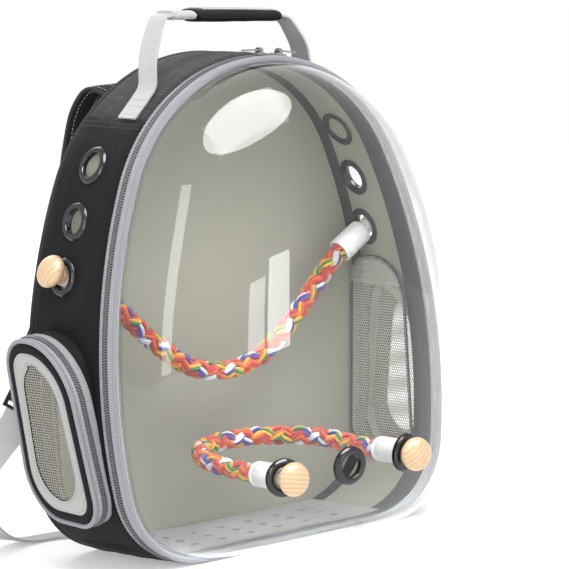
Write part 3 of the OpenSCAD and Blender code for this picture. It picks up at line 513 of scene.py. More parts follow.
def smooth_path(points, step=2.0, closed=False):
    """An even, smooth curve through points (centripetal spline)"""
    p = np.asarray(points, float)
    q = np.concatenate([p[-1:], p, p[:2]]) if closed else np.concatenate([2 * p[:1] - p[1:2], p,
        2 * p[-1:] - p[-2:-1]])
    out = []
    for i in range(1, len(q) - 2):
        a, b, c, d = q[i - 1: i + 3]
        k = np.cumsum([0] + [max(1e-6, np.linalg.norm(v)) ** 0.5 for v in (b - a, c - b, d - c)])
        for s in np.linspace(k[1], k[2], 24, endpoint=False):
            a1 = ((k[1] - s) * a + (s - k[0]) * b) / (k[1] - k[0])
            a2 = ((k[2] - s) * b + (s - k[1]) * c) / (k[2] - k[1])
            a3 = ((k[3] - s) * c + (s - k[2]) * d) / (k[3] - k[2])
            b1 = ((k[2] - s) * a1 + (s - k[0]) * a2) / (k[2] - k[0])
            b2 = ((k[3] - s) * a2 + (s - k[1]) * a3) / (k[3] - k[1])
            out.append(((k[2] - s) * b1 + (s - k[1]) * b2) / (k[2] - k[1]))
    out.append(out[0] if closed else p[-1])
    out = np.asarray(out)
    length = lengths(out)
    n = max(3, int(round(length[-1] / step)) + 1)
    at = np.linspace(0, length[-1], n)
    even = spread(at, length, out)
    return even[:-1] if closed else even


def lathe(profile, n=64):
    """A closed profile of (radius, height) points turned about Z"""
    s = np.asarray(profile, float)
    a = np.linspace(0, 2 * math.pi, n, endpoint=False)
    v = xyz(s[None, :, 0] * np.cos(a)[:, None], s[None, :, 0] * np.sin(a)[:, None], s[None, :, 1])
    f = grid_faces(n, len(s), True, True)
    along = lengths(s)
    uv = np.stack(np.meshgrid(a * s[:, 0].max(), along, indexing="ij"), -1).reshape(-1, 2)
    return v.reshape(-1, 3), f, uv


def cut(o, cutters, smooth):
    """Takes the cutters out of an object's mesh, deletes them and shades the mesh again"""
    for c in cutters:
        m = o.modifiers.new("cut", "BOOLEAN")
        m.operation, m.solver, m.object = "DIFFERENCE", "EXACT", c
    bpy.context.view_layer.update()
    done = bpy.data.meshes.new_from_object(o.evaluated_get(bpy.context.evaluated_depsgraph_get()))
    o.modifiers.clear()
    o.data = done
    for c in cutters:
        bpy.data.objects.remove(c)
    o.data.shade_smooth()
    o.data.set_sharp_from_angle(angle=math.radians(smooth))


def cutter(verts, faces):
    me = bpy.data.meshes.new("cutter")
    me.from_pydata((np.asarray(verts, float) * MM).tolist(), [], [list(map(int, f)) for f in faces])
    o = bpy.data.objects.new("cutter", me)
    bpy.context.scene.collection.objects.link(o)
    return o


def drum(place, r, h0, h1, n=48):
    v, f, _ = sweep([(0, 0, h0), (0, 0, (h0 + h1) / 2), (0, 0, h1)], circle(r, n), side=(1, 0, 0))
    return cutter(np.asarray([place @ Vector(p) for p in v]), f)


def stitch_row(points, normals, pitch=4.0, length=2.8, r=0.32, lift=0.15):
    """Thread along a path, one low spindle a stitch: vertices, faces and lengths"""
    p, n = np.asarray(points, float), np.asarray(normals, float)
    d = lengths(p)
    at = np.arange(pitch / 2, d[-1] - pitch / 2, pitch)
    mid = spread(at, d, p)
    nor = spread(at, d, n)
    ahead = spread(at + 0.5, d, p)
    t = ahead - mid
    t /= np.linalg.norm(t, axis=1)[:, None]
    nor /= np.linalg.norm(nor, axis=1)[:, None]
    b = np.cross(t, nor)
    rows = [(-0.5, 0.15, -0.35), (-0.36, 0.9, 0.35), (0, 1, 0.6), (0.36, 0.9, 0.35), (0.5, 0.15, -0.35)]
    sides = 6
    a = np.linspace(0, 2 * math.pi, sides, endpoint=False)
    v = np.zeros((len(at), len(rows), sides, 3))
    for i, (s, k, up_by) in enumerate(rows):
        c = mid + t * (s * length) + nor * (lift + up_by * r)
        v[:, i] = c[:, None] + r * k * (b[:, None] * np.cos(a)[None, :, None] + nor[:, None]
            * np.sin(a)[None, :, None])
    per = len(rows) * sides
    f = np.concatenate([grid_faces(len(rows), sides, False, True) + i * per
        for i in range(len(at))]) if len(at) else []
    return v.reshape(-1, 3), np.asarray(f).tolist(), np.zeros((len(at) * per, 2))


def wobble(p, scale, seed=0.0):
    """Smooth noise, one number a point, from about -1 to 1; scale is the size of a fold in mm"""
    q = np.asarray(p, float).reshape(-1, 3) / scale + seed
    return np.array([noise.noise(Vector(v)) for v in q]).reshape(np.asarray(p).shape[:-1])


def place_mat(origin, z_axis, x_hint=(0, 1, 0)):
    z = Vector(z_axis).normalized()
    x = Vector(x_hint)
    x = (x - z * x.dot(z)).normalized()
    m = Matrix((x, z.cross(x), z)).transposed().to_4x4()
    m.translation = Vector(origin)
    return m


def scaled(m):
    """A placing in mm as one in metres"""
    out = m.copy()
    out.translation = m.translation * MM
    return out


# ---------- ropes ----------
def yarn(name, colour):
    """Twisted yarn: slanting plies with painted shade in the grooves between them, and loose fibres"""
    p = Paint(name, 0.8, Sheen_Weight=0.25, Sheen_Roughness=0.5)
    u, v, _ = p.uv()
    twist = p.wave(p.math("MULTIPLY_ADD", v, 0.9, u), 1.2)
    height = p.math("MULTIPLY_ADD", p.noise(1400, detail=2), 0.7, twist)
    # the plies are painted darker down in the twist's grooves: painted shade; the fine noise is loose fibres
    dark = tuple(c * 0.42 for c in colour)
    return p.end(Base_Color=p.ramp(height, [(0.25, dark), (1.1, colour)]), Normal=p.bump(height, 0.3, 0.8))


YARNS = [yarn(f"yarn_{n}", c) for n, c in (
    ("red", (0.58, 0.012, 0.012)), ("orange", (0.82, 0.13, 0.012)), ("yellow", (0.86, 0.47, 0.015)),
    ("green", (0.025, 0.22, 0.05)),
    ("blue", (0.025, 0.04, 0.34)), ("white", (0.84, 0.84, 0.88)), ("purple", (0.2, 0.03, 0.26)),
    ("core", (0.1, 0.06, 0.05)))]
STRANDS = [(0, 1, 0), (5, 4, 6), (1, 0, 1), (2, 3, 2), (1, 2, 3), (0, 0, 1), (5, 5, 4), (2, 1, 0)]


def braid(name, route, body, node, lay_mm):
    """A round braid of eight strands, four each way, each of three yarns side by side"""
    core, core_r, braid_r, wave, yarn_r = 7, 4.3, 5.6, 1.6, 1.45
    path = smooth_path(route, 1.7)
    s = lengths(path)
    _, a, b = frames(path)
    turn = 2 * math.pi * s / lay_mm
    parts, index = [], []
    wide = circle(1.0, 8)
    for k in range(8):
        way = 1 if k < 4 else -1
        over = way * np.cos(4 * turn)
        for m, colour in zip((-1, 0, 1), STRANDS[k]):
            angle = way * turn + (k % 4) * math.pi / 2 + m * (0.36 + 0.05 * over)
            r = braid_r + wave * over - 0.35 * abs(m)
            p = path + a * (r * np.cos(angle))[:, None] + b * (r * np.sin(angle))[:, None]
            part = sweep(p, wide, scale=np.repeat((yarn_r + 0.06 * over)[:, None], 2, 1))
            parts.append(part)
            index += [colour] * len(part[1])
    part = sweep(path, circle(core_r, 10))
    parts.append(part)
    index += [core] * len(part[1])
    v, f, u = join(*parts)
    o = new_object(name, v, f, YARNS, body, "rope", smooth=180, uv=u, replaces=[node], index=index)


def mirrored(half):
    """A rope's route from its half, whose first point lies in the middle"""
    return [(-x, y, z) for x, y, z in half[:0:-1]] + half


C30, S30 = math.cos(math.radians(30)), 0.5
EYE_X, EYE_Z, LOWER_Y = 65.0, 76.0, -148.21
WALL_EYE_Z, WALL_EYE_STEP, WALL_EYE_Y, WALL_EYE_LEAN = 249.0, 46.0, 11.0, 6.5
UPPER_X = float(half_w(WALL_EYE_Z))
UPPER_SAG = [(0, 145), (20, 147), (40, 154), (58, 166), (76, 181), (94, 198), (112, 215)]
UPPER_SAG += [(UPPER_X - s * C30, WALL_EYE_Z - s * S30) for s in (38, 15.5)]
UPPER_HALF = [(x, WALL_EYE_Y, z) for x, z in UPPER_SAG]
LOWER_HALF = [(0, 21, 82), (19, 18, 82), (36, 8, 81.5), (50, -8, 81), (60, -28, 80), (64, -50, 78.5),
    (65, -72, 77), (65, -94, 76)]
LOWER_HALF += [(EYE_X, LOWER_Y + s, EYE_Z) for s in (36.5, 14.0)]
braid("upper_perch_rope", mirrored(UPPER_HALF), "bag", "upper_rope", 76.0)
braid("lower_perch_rope", mirrored(LOWER_HALF), "front_door", "lower_rope", 76.0)


# ---------- dome ----------
DOME_D, DOME_T, PEAK_Z, LOW_N, HIGH_N, SIDE_N, RIM = 96.0, 1.5, 225.0, 4.5, 2.4, 2.1, 3.0
DOME_IN = PIPE_IN + PIPE_R + 0.1
DOME_Y = PIPE_Y + 0.4
REACH = DOME_D + RING_Y - DOME_Y


def dome_depth(x, z, t=0.0):
    """How far the dome, or its inner skin t mm within, stands out of its ring"""
    low, high = DOME_IN + t, BAG_H - DOME_IN - t
    z = np.asarray(z, float)
    u = np.where(z < PEAK_Z, (PEAK_Z - z) / (PEAK_Z - low), (z - PEAK_Z) / (high - PEAK_Z))
    n = np.where(z < PEAK_Z, LOW_N, HIGH_N)
    v = np.maximum(0, 1 - np.minimum(1, u) ** n) ** (1 / n)
    s = np.minimum(1, np.abs(x) / np.maximum(0.01, half_w(z, DOME_IN + t)))
    return (REACH - t) * v * np.maximum(0, 1 - s**SIDE_N) ** (1 / SIDE_N)


def on_dome(x, z, t=0.0):
    return np.array([x, DOME_Y - float(dome_depth(x, z, t)), z])


def dome_normal(x, z):
    """The outward direction square to the dome, from its depth close by"""
    e = 2.0
    across = float(dome_depth(x - e, z) - dome_depth(x + e, z)) / (2 * e)
    upwards = float(dome_depth(x, z - e) - dome_depth(x, z + e)) / (2 * e)
    n = np.array([across, -1, upwards])
    return n / np.linalg.norm(n)


def make_dome():
    rows, cols = 130, 120
    fine = 4000
    share = (1 - np.cos(np.linspace(0, math.pi, fine))) / 2
    skins = []
    for t in (0.0, DOME_T):
        low, high = DOME_IN + t, BAG_H - DOME_IN - t
        z = low + (high - low) * share
        d = dome_depth(0.0, z, t)
        k = np.concatenate([[0], np.cumsum(np.hypot(np.diff(z), np.diff(d)))])
        zz = np.interp(np.linspace(0, k[-1], rows), k, z)
        zz[-1] = high - 0.02
        phi = np.linspace(-math.pi / 2, math.pi / 2, cols)
        w = half_w(zz, DOME_IN + t)
        x = w[:, None] * np.sin(phi)[None]
        y = DOME_Y - dome_depth(x, zz[:, None], t)
        skins.append(xyz(x, y, zz[:, None]))
    v, f, _ = slab(*skins)
    o = new_object("dome_clear", v, f, CLEAR, None, "clear_sheet", smooth=50)
    holes = []
    for x in (-EYE_X, 0, EYE_X):
        n = dome_normal(x, EYE_Z)
        holes.append(drum(place_mat(on_dome(x, EYE_Z), n), 11.3, -14, 14))
    cut(o, holes, 50)
    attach(o, "front_door")
    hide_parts("dome")
    x0, x1, y0, y1 = DOME_IN - 0.3, DOME_IN + RIM, DOME_Y - 0.5, DOME_Y + 1
    bare_piece("dome_edge", ring([(x0, y0), (x1, y0), (x1, y1), (x0, y1)], step=6), CLEAR, "front_door",
        "clear_sheet")


make_dome()


# ---------- ring round the opening ----------
def coil_teeth(y0, y1, inset, height, phase, r=0.55, pitch=2.3):
    """One half of a zip's coil: a row of small arched loops along the outline"""
    n = int(FULL / pitch)
    t = (np.arange(n) + phase) * (FULL / n)
    k = np.linspace(0, math.pi, 6)
    ys = (y0 + y1) / 2 - np.cos(k) * (y1 - y0) / 2
    hs = inset - np.sin(k) * height
    a = np.linspace(0, 2 * math.pi, 5, endpoint=False)
    v = np.zeros((n, len(k), len(a), 3))
    for i in range(len(k)):
        for j, b in enumerate(a):
            rad = hs[i] - r * math.sin(b) * math.sin(k[i])
            v[:, i, j] = outline_at(t + r * math.cos(b), rad, ys[i] - r * math.sin(b) * math.cos(k[i]))
    per = len(k) * len(a)
    f = np.concatenate([grid_faces(len(k), len(a), False, True) + i * per for i in range(n)])
    return v.reshape(-1, 3), f.tolist(), np.zeros((n * per, 2))


def outline_row(y, inset, t0=0.0, t1=FULL, lean=False, **more):
    """A row of stitches along the bag's outline"""
    t = np.linspace(t0, t1, int((t1 - t0) / 2))
    q, n = outline(t, inset)
    ys = back_at(q[:, 1]) + y if lean else np.full(len(t), y)
    return stitch_row(xyz(q[:, 0], ys, q[:, 1]), xyz(n[:, 0], 0, n[:, 1]), **more)


def make_ring():
    tape_in, tape_out, coil_in, coil_h = 1.5, 3.4, 1.0, 0.75
    piece("body_zip_cloth", ring(soft_box(tape_in, tape_out, SPLIT_Y + 0.2, BORDER_Y + 1.2, 0.6)), TAPE,
        "bag", "zip_tape", replaces=["body_zip_tape"])
    piece("door_zip_cloth", join(ring(soft_box(tape_in, tape_out, PIPE_Y + PIPE_R - 0.6, SPLIT_Y - 0.2, 0.6)),
        ring(soft_box(tape_out, 4.6, PIPE_Y + PIPE_R, SPLIT_Y - 0.2, 0.4))), TAPE, "front_door", "zip_tape",
        replaces=["door_zip_tape"])
    for word, body, way, phase in (("body", "bag", 1, 0.0), ("door", "front_door", -1, 0.5)):
        strip = sorted(SPLIT_Y + way * d for d in (0.25, 3.4))
        loops = sorted(SPLIT_Y + way * d for d in (0.35, 3.1))
        teeth = coil_teeth(*loops, coil_in, coil_h, phase)
        coil_piece(f"{word}_coil_loops", ring(soft_box(0.9, 1.7, *strip, 0.3)), teeth, body,
            replaces=[f"{word}_zip_coil"])
    piece("door_piping_cloth", ring(circle(PIPE_R, 16, PIPE_IN, PIPE_Y), step=3), PIPING, "front_door",
        "piping", smooth=180, replaces=["door_piping"])
    bare_piece("door_zip_stitches", join(*[outline_row(y, tape_in)
        for y in (SPLIT_Y - 5.6, PIPE_Y + PIPE_R + 1.2)]), THREAD_GREY, "front_door", "zip_tape")
    bare_piece("body_zip_stitches", join(*[outline_row(y, tape_in) for y in (SPLIT_Y + 5.2, BORDER_Y - 0.6)]),
        THREAD_GREY, "bag", "zip_tape")
    piece("front_binding_cloth", join(ring(soft_box(3.45, 4.7, SPLIT_Y + 0.3, BORDER_Y + 1, 0.4)),
        ring(soft_box(3.05, 4.9, BORDER_Y + 0.5, BORDER_Y + 16, 0.7))), BIND, "bag", "binding",
        replaces=["front_binding"])
    bare_piece("front_binding_stitches", join(*[outline_row(y, 4.9, lift=-0.1)
        for y in (BORDER_Y + 2.2, BORDER_Y + 14)]), THREAD_DARK, "bag", "binding")


make_ring()


# ---------- the bag's cloth ----------
WALL_EYES = []
for i in range(3):
    z = WALL_EYE_Z + i * WALL_EYE_STEP
    WALL_EYES.append((float(half_w(z)), WALL_EYE_Y - i * WALL_EYE_LEAN, z))


def wall_eye(i, side=1):
    """Placing of a wall eyelet, its axis outwards"""
    x, y, z = WALL_EYES[i]
    a = wall_a(z)
    return place_mat((side * x, y, z), (side * math.cos(a), 0, math.sin(a)))


POD_X, POD_TOP, POD_LOW, POD_LEAN = 204.0, 200.0, 37.0, math.radians(7.6)
POD_CORNERS = [(-44, POD_LOW), (58, POD_LOW + 5), (50, POD_TOP + 1), (-37, POD_TOP + 1)]
POD_RADII = [26, 46, 30, 56]


def rounded(corners, radii, step=2.0):
    """Even points and inward normals of a polygon with round corners"""
    pts = []
    n = len(corners)
    for i in range(n):
        p, q, s = (np.array(corners[(i + k) % n], float) for k in (-1, 0, 1))
        u, v = (p - q) / np.linalg.norm(p - q), (s - q) / np.linalg.norm(s - q)
        half = math.acos(u @ v) / 2
        d = radii[i] / math.tan(half)
        c = q + (u + v) / np.linalg.norm(u + v) * radii[i] / math.sin(half)
        a0 = math.atan2(*(q + u * d - c)[::-1])
        turn = (math.atan2(*(q + v * d - c)[::-1]) - a0 + math.pi) % (2 * math.pi) - math.pi
        pts += [c + radii[i] * np.array([math.cos(a0 + turn * k / 40), math.sin(a0 + turn * k / 40)])
            for k in range(41)]
    pts = np.array(pts + pts[:1])
    length = lengths(pts)
    m = int(round(length[-1] / step))
    at = np.linspace(0, length[-1], m, endpoint=False)
    e = spread(at, length, pts)
    t = np.roll(e, -1, 0) - np.roll(e, 1, 0)
    t /= np.linalg.norm(t, axis=1)[:, None]
    return e, np.stack([-t[:, 1], t[:, 0]], -1)


POD_LINE, POD_NORMAL = rounded(POD_CORNERS, POD_RADII)


def pod_point(a, b, c, side=1):
    """A point on the pod's own plane: a along the depth, b height below its top, c outwards"""
    a, b, c = np.broadcast_arrays(*(np.asarray(k, float) for k in (a, b, c)))
    x = c * math.cos(POD_LEAN) + b * math.sin(POD_LEAN) + POD_X
    z = b * math.cos(POD_LEAN) - c * math.sin(POD_LEAN) + POD_TOP
    return xyz(side * x, a, z)


def on_pod(q, c, side=1):
    """Points of the pod's outline set on its plane, c outwards"""
    return pod_point(q[..., 0], q[..., 1] - POD_TOP, c, side)


def pod_prism(inset, side):
    """A cutter through the wall, as wide as the pod's outline, inset"""
    line = POD_LINE + POD_NORMAL * inset
    v = [(side * x, y, z) for x in (110, 215) for y, z in line]
    n = len(line)
    f = [list(range(n - 1, -1, -1)), list(range(n, 2 * n))] + [[i, (i + 1) % n, n + (i + 1) % n, n + i]
        for i in range(n)]
    if side < 0:
        f = [k[::-1] for k in f]
    return cutter(v, f)


def calm(p):
    """0 close to an eyelet or a pod, 1 away from them, so that folds die out there"""
    k = np.ones(p.shape[:-1])
    for x, y, z in WALL_EYES:
        d = np.sqrt((np.abs(p[..., 0]) - x) ** 2 + (p[..., 1] - y) ** 2 + (p[..., 2] - z) ** 2)
        k = np.minimum(k, np.clip((d - 18) / 22, 0, 1))
    inside = (np.abs(p[..., 0]) > 140) & (p[..., 2] < POD_TOP + 12) & (p[..., 1] > -56)
    return np.where(inside, np.minimum(k, np.clip((p[..., 2] - POD_TOP) / 12, 0, 1)), k)


def shell(t0, t1, in0, in1, y0, y1, folds=0.0, puff=0.0, step=3.5, seed=0.0, draw=0.9):
    """Cloth between two insets along the outline, from y0 to y1 short of the back, with folds and seams"""
    t = np.linspace(t0, t1, int((t1 - t0) / step) + 2)
    w = np.linspace(0, 1, int(110 / step) + 2)
    q, n = outline(t, 0.0)
    z = q[:, 1]
    depth = back_at(z)[:, None] - y1
    y = y0 + (depth - y0) * w[None]
    base = xyz(q[:, None, 0], y, z[:, None])
    nor = xyz(n[:, None, 0], 0, n[:, None, 1])
    edge = np.minimum(np.minimum(t - t0, t1 - t)[:, None], np.minimum(y - y0, depth - y))
    k = calm(base)
    out = puff * np.clip(edge / 25, 0, 1) ** 0.6 * k - draw * np.exp(-edge / 2.0)
    if folds:
        slant = base * np.array([1, 1.9, 0.75])
        both = wobble(slant, 34, seed) * 0.9 + wobble(slant, 15, seed + 7) * 0.35
        out = out + folds * k * np.clip(edge / 15, 0, 1) * both
    return slab(*[base + nor * (out - inset)[..., None] for inset in (in0, in1)])


def body_cloth(name, t0, t1, in0, in1, mat, slot, replaces, side, y0=BORDER_Y, y1=0.0, **more):
    """One panel of the bag; side is 1 or -1 where eyelets and a pod open it, and 0 elsewhere"""
    v, f, u = shell(t0, t1, in0, in1, y0, y1, **more)
    o = new_object(name, v, f, mat, None, slot, uv=u)
    if side:
        cut(o, [drum(wall_eye(i, side), 12.3, -20, 20) for i in range(3)] + [pod_prism(7, side)], 38)
    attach(o, "bag")
    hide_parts(*replaces)


def make_cloth():
    for word, side in SIDES:
        a, b = (T_CORNER, T_SEAM) if side > 0 else (FULL - T_SEAM, FULL - T_CORNER)
        body_cloth(f"side_cloth_{word}", a, b, 0, FABRIC_T, BLACK, "black_fabric", [f"side_panel_{word}"],
            side, folds=1.5, puff=1.4, seed=side * 3.1)
        body_cloth(f"lining_cloth_{word}", a, b, FABRIC_T + 0.05, WALL_T, LINING, "lining",
            [f"lining_{word}"], side, y1=BACK_IN, folds=-0.7, seed=side * 5.7, draw=0)
    body_cloth("top_cloth", T_SEAM, FULL - T_SEAM, 0, FABRIC_T, TOPCLOTH, "top_weave", ["top_panel"], 0,
        folds=0.7, puff=1.2)
    body_cloth("lining_cloth_top", T_SEAM, FULL - T_SEAM, FABRIC_T + 0.05, WALL_T, LINING, "lining",
        ["lining_top"], 0, y1=BACK_IN, folds=-0.5, draw=0)
    body_cloth("base_cloth", -T_CORNER, T_CORNER, 0, WALL_T, BLACK, "black_fabric", ["base_panel"], 0, draw=0)
    rows = []
    for side in (1, -1):
        for k in (3.0, 8.5):
            t = T_SEAM - k if side > 0 else FULL - T_SEAM + k
            q, n = outline(np.full(60, t), -0.7 if k > 5 else 0.0)
            y = np.linspace(BORDER_Y + 2, float(back_at(q[0, 1])) - 2, 60)
            rows.append(stitch_row(xyz(q[:, 0], y, q[:, 1]), xyz(n[:, 0], 0, n[:, 1])))
    rows.append(outline_row(BORDER_Y + 4.5, -0.6, T_SEAM, FULL - T_SEAM))
    bare_piece("body_stitches", join(*rows), THREAD_DARK, "bag", "black_fabric")


make_cloth()


def back_disc(inset, r, t_points):
    """Points from the middle of the back out to its outline, inset"""
    t = np.linspace(0, FULL, t_points, endpoint=False)
    q, _ = outline(t, inset)
    c = np.array([0.0, 205.0])
    return c + (q[:, None] - c) * np.asarray(r)[None, :, None]


def back_sheet(name, q, outer, inner, mat, slot, node):
    """A closed sheet over the back's outline, between two depths"""
    x, z = q[..., 0], q[..., 1]
    n_t, n_r = x.shape
    n = n_t * n_r
    v = np.concatenate([xyz(x, y, z).reshape(-1, 3) for y in (outer, inner)])
    f = grid_faces(n_t, n_r, True, flip=True).tolist() + (grid_faces(n_t, n_r, True) + n).tolist()
    rim = [i * n_r + n_r - 1 for i in range(n_t)]
    f += [[a, a + n, b + n, b] for a, b in zip(rim, rim[1:] + rim[:1])]
    f += [[i * n_r for i in range(n_t)], [n + i * n_r for i in range(n_t - 1, -1, -1)]]
    u = np.tile(np.stack([x.ravel(), z.ravel()], -1), (2, 1))
    new_object(name, v, f, mat, "bag", slot, uv=u, replaces=[node])


def make_back():
    r = np.concatenate([[0.02], np.linspace(0.1, 1, 40)])
    edge = (1 - r)[None] * 150
    q = back_disc(0.5, r, 300)
    face = back_at(q[..., 1])
    flat = xyz(q[..., 0], 0, q[..., 1])
    swell = 2.0 * np.clip(edge / 40, 0, 1) * (1 + 0.6 * wobble(flat, 45)) - 1.2 * np.exp(-edge / 4)
    back_sheet("back_cloth", q, face + swell, face - 9, BLACK, "black_fabric", "back_panel")
    q = back_disc(WALL_T + 0.1, r, 300)
    face = back_at(q[..., 1])
    flat = xyz(q[..., 0], 0, q[..., 1])
    ripple = np.clip(edge / 30, 0, 1) * wobble(flat * [1, 1, 0.6], 60, 4.0)
    back_sheet("lining_cloth_back", q, face - BACK_IN + ripple - 0.3, face - 10.0, LINING, "lining",
        "lining_back")
    t = np.linspace(0, FULL, 420, endpoint=False)
    q, _ = outline(t, PIPE_R - 0.6)
    pipe = xyz(q[:, 0], back_at(q[:, 1]) + PIPE_R + 0.1, np.maximum(q[:, 1], PIPE_R))
    piece("back_piping_cloth", sweep(pipe, circle(PIPE_R, 12), side=(0, 1, 0.08), closed=True), BIND, "bag",
        "binding", smooth=180, replaces=["back_piping"])
    sec = soft_box(WALL_T + 0.1, WALL_T + 1.6, -13.5, -0.4, 0.5)
    n = int(FULL / 4)
    t = np.linspace(0, FULL, n, endpoint=False)
    p = np.zeros((n, len(sec), 3))
    for j, (inset, y) in enumerate(sec):
        q, _ = outline(t, inset)
        p[:, j] = xyz(q[:, 0], back_at(q[:, 1]) - BACK_IN + y, q[:, 1])
    u = np.stack([np.repeat(t, len(sec)), np.tile(np.linspace(0, 28, len(sec)), n)], -1)
    new_object("back_binding_cloth", p.reshape(-1, 3), grid_faces(n, len(sec), True, True), BIND, "bag",
        "binding", uv=u, replaces=["back_binding"])


make_back()


# ---------- pods ----------
POD_SPLIT = 10.5
BAND_IN, BAND_OUT = 11.5, 20.9


def pod_at(inset):
    """The pod's outline, inset; inside the dark rim its corners turn rounder"""
    if inset <= BAND_IN:
        return POD_LINE + POD_NORMAL * inset
    start = POD_LINE + POD_NORMAL * BAND_IN
    mid = np.array([6.0, 115.0])
    corners = [np.array(c) - BAND_OUT * np.sign(np.array(c) - mid) for c in POD_CORNERS]
    deep, _ = rounded(corners, [27, 32, 27, 38], 1.0)
    angle = np.arctan2(*(deep - mid).T[::-1])
    order = np.argsort(angle)
    own = np.arctan2(*(start - mid).T[::-1])
    r = np.interp(own, angle[order], np.linalg.norm(deep - mid, axis=1)[order], period=2 * math.pi)
    k = (inset - BAND_IN) / (BAND_OUT - BAND_IN)
    return start * (1 - k) + k * (mid + r[:, None] * np.stack([np.cos(own), np.sin(own)], -1))


def pod_loop(section, side):
    """A closed section of (inset, c) points carried round the pod: vertices, faces and lengths"""
    n = len(POD_LINE)
    s = np.asarray(section, float)
    p = np.stack([on_pod(pod_at(inset), c, side) for inset, c in s], 1)
    along = np.repeat(np.arange(n) * 2.0, len(s))
    around = np.tile(lengths(s), n)
    return p.reshape(-1, 3), grid_faces(n, len(s), True, True).tolist(), np.stack([along, around], -1)


def pod_strip(side, in0, in1, c0, c1, r=0.3):
    """A flat strip round the pod, between two insets and two depths"""
    return pod_loop(soft_box(in0, in1, c0, c1, r), side)


def pod_teeth(c0, c1, side, phase, inset=-0.05, height=0.75, r=0.5, pitch=2.1):
    line = np.concatenate([POD_LINE, POD_LINE[:1]])
    nor = np.concatenate([POD_NORMAL, POD_NORMAL[:1]])
    d = lengths(line)
    n = int(d[-1] / pitch)
    t = (np.arange(n) + phase) * d[-1] / n % d[-1]
    k = np.linspace(0, math.pi, 5)
    ring_a = np.linspace(0, 2 * math.pi, 5, endpoint=False)
    v = np.zeros((n, 5, 5, 3))
    for i in range(5):
        for j, b in enumerate(ring_a):
            at = (t + r * math.cos(b)) % d[-1]
            q = spread(at, d, line)
            w = spread(at, d, nor)
            q = q + w * (inset - math.sin(k[i]) * (height + r * math.sin(b)))
            c = (c0 + c1) / 2 - math.cos(k[i]) * ((c1 - c0) / 2 + r * math.sin(b))
            v[:, i, j] = on_pod(q, c, side)
    f = np.concatenate([grid_faces(5, 5, False, True) + i * 25 for i in range(n)])
    return v.reshape(-1, 3), f.tolist(), np.zeros((n * 25, 2))


def pod_stitches(inset, c, side, outward=False, **more):
    q = pod_at(inset)
    q = np.concatenate([q, q[:1]])
    p = on_pod(q, c, side)
    if outward:
        w = -np.concatenate([POD_NORMAL, POD_NORMAL[:1]])
        n = on_pod(q + w, c, side) - p
    else:
        n = on_pod(q, c + 1, side) - p
    return stitch_row(p, n, **more)


def gusset_start(inset):
    """How far in from the pod's plane the gusset meets the wall, for each point round it"""
    q = POD_LINE + POD_NORMAL * inset
    c = np.full(len(q), -40.0)
    for _ in range(8):
        p = on_pod(q, c)
        c = c - (p[:, 0] - half_w(p[:, 2]) + 0.8) / math.cos(POD_LEAN)
    return np.minimum(c, -POD_SPLIT - 2)


def knit(inside, box, place, pitch=2.7, open_share=0.62, thick=0.25):
    """Hexagonal knit cells whose middles lie inside a shape: vertices, faces and lengths"""
    (u0, v0), (u1, v1) = box
    row = pitch * 0.866
    us, vs = [], []
    for j, v in enumerate(np.arange(v0, v1, row)):
        u = np.arange(u0 + (pitch / 2 if j % 2 else 0), u1, pitch)
        us.append(u)
        vs.append(np.full(len(u), v))
    mid = np.stack([np.concatenate(us), np.concatenate(vs)], -1)
    mid = mid[inside(mid)]
    a = np.radians(np.arange(6) * 60 + 30)
    hexa = np.stack([np.cos(a), np.sin(a)], -1) * pitch / math.sqrt(3) * 1.01
    n = len(mid)
    v = np.zeros((n, 18, 3))
    for k, (scale, h) in enumerate(((1, thick), (open_share, 0), (1, -thick))):
        v[:, k * 6: k * 6 + 6, :2] = mid[:, None] + hexa[None] * scale
        v[:, k * 6: k * 6 + 6, 2] = h
    one = [[k, (k + 1) % 6, 6 + (k + 1) % 6, 6 + k] for k in range(6)] + [[6 + k, 6 + (k + 1) % 6,
        12 + (k + 1) % 6, 12 + k] for k in range(6)]
    f = (np.asarray(one)[None] + (np.arange(n) * 18)[:, None, None]).reshape(-1, 4)
    flat = v.reshape(-1, 3)
    return place(flat), f.tolist(), flat[:, :2].copy()


def inside_of(line, margin=0.0):
    """A test for points inside an even outline with inward normals"""
    line, nor = line

    def test(p):
        out = np.ones(len(p), bool)
        for start in range(0, len(p), 2000):
            q = p[start: start + 2000]
            near = np.argmin(((q[:, None] - line[None]) ** 2).sum(2), 1)
            out[start: start + 2000] = ((q - line[near]) * nor[near]).sum(1) > margin
        return out
    return test


def make_gusset(side, word):
    """The pod's creased wall between the bag and its zip"""
    c0 = gusset_start(1.0)
    n = len(POD_LINE)
    w = np.linspace(0, 1, 14)
    grids = []
    for inset in (1.0, 3.0):
        q = POD_LINE + POD_NORMAL * inset
        c = c0[:, None] + (-POD_SPLIT - 0.15 - c0)[:, None] * w[None]
        p = on_pod(q[:, None], c, side)
        calm_ends = np.clip((c - c0[:, None]) / 8, 0, 1) * np.clip((-20.5 - c) / 8, 0, 1)
        folds = 0.9 * wobble(p * [0.5, 1, 1], 22, side * 9.0) * calm_ends
        q = q[:, None] - POD_NORMAL[:, None] * folds[..., None]
        grids.append(on_pod(q, c, side))
    nv = len(w)
    v = np.concatenate([g.reshape(-1, 3) for g in grids])
    f = grid_faces(n, nv, True).tolist() + (grid_faces(n, nv, True, flip=True) + n * nv).tolist()
    for j in (0, nv - 1):
        f += [[i * nv + j, (i + 1) % n * nv + j, n * nv + (i + 1) % n * nv + j, n * nv + i * nv + j]
            for i in range(n)]
    depth = c0[:, None] * (1 - w[None]) - POD_SPLIT * w[None]
    u = np.stack([np.repeat(np.arange(n) * 2.0, nv), depth.ravel()], -1)
    new_object(f"pod_gusset_cloth_{word}", v, f, BLACK, "bag", "black_fabric", uv=np.concatenate([u, u]),
        replaces=[f"pod_gusset_{word}"])


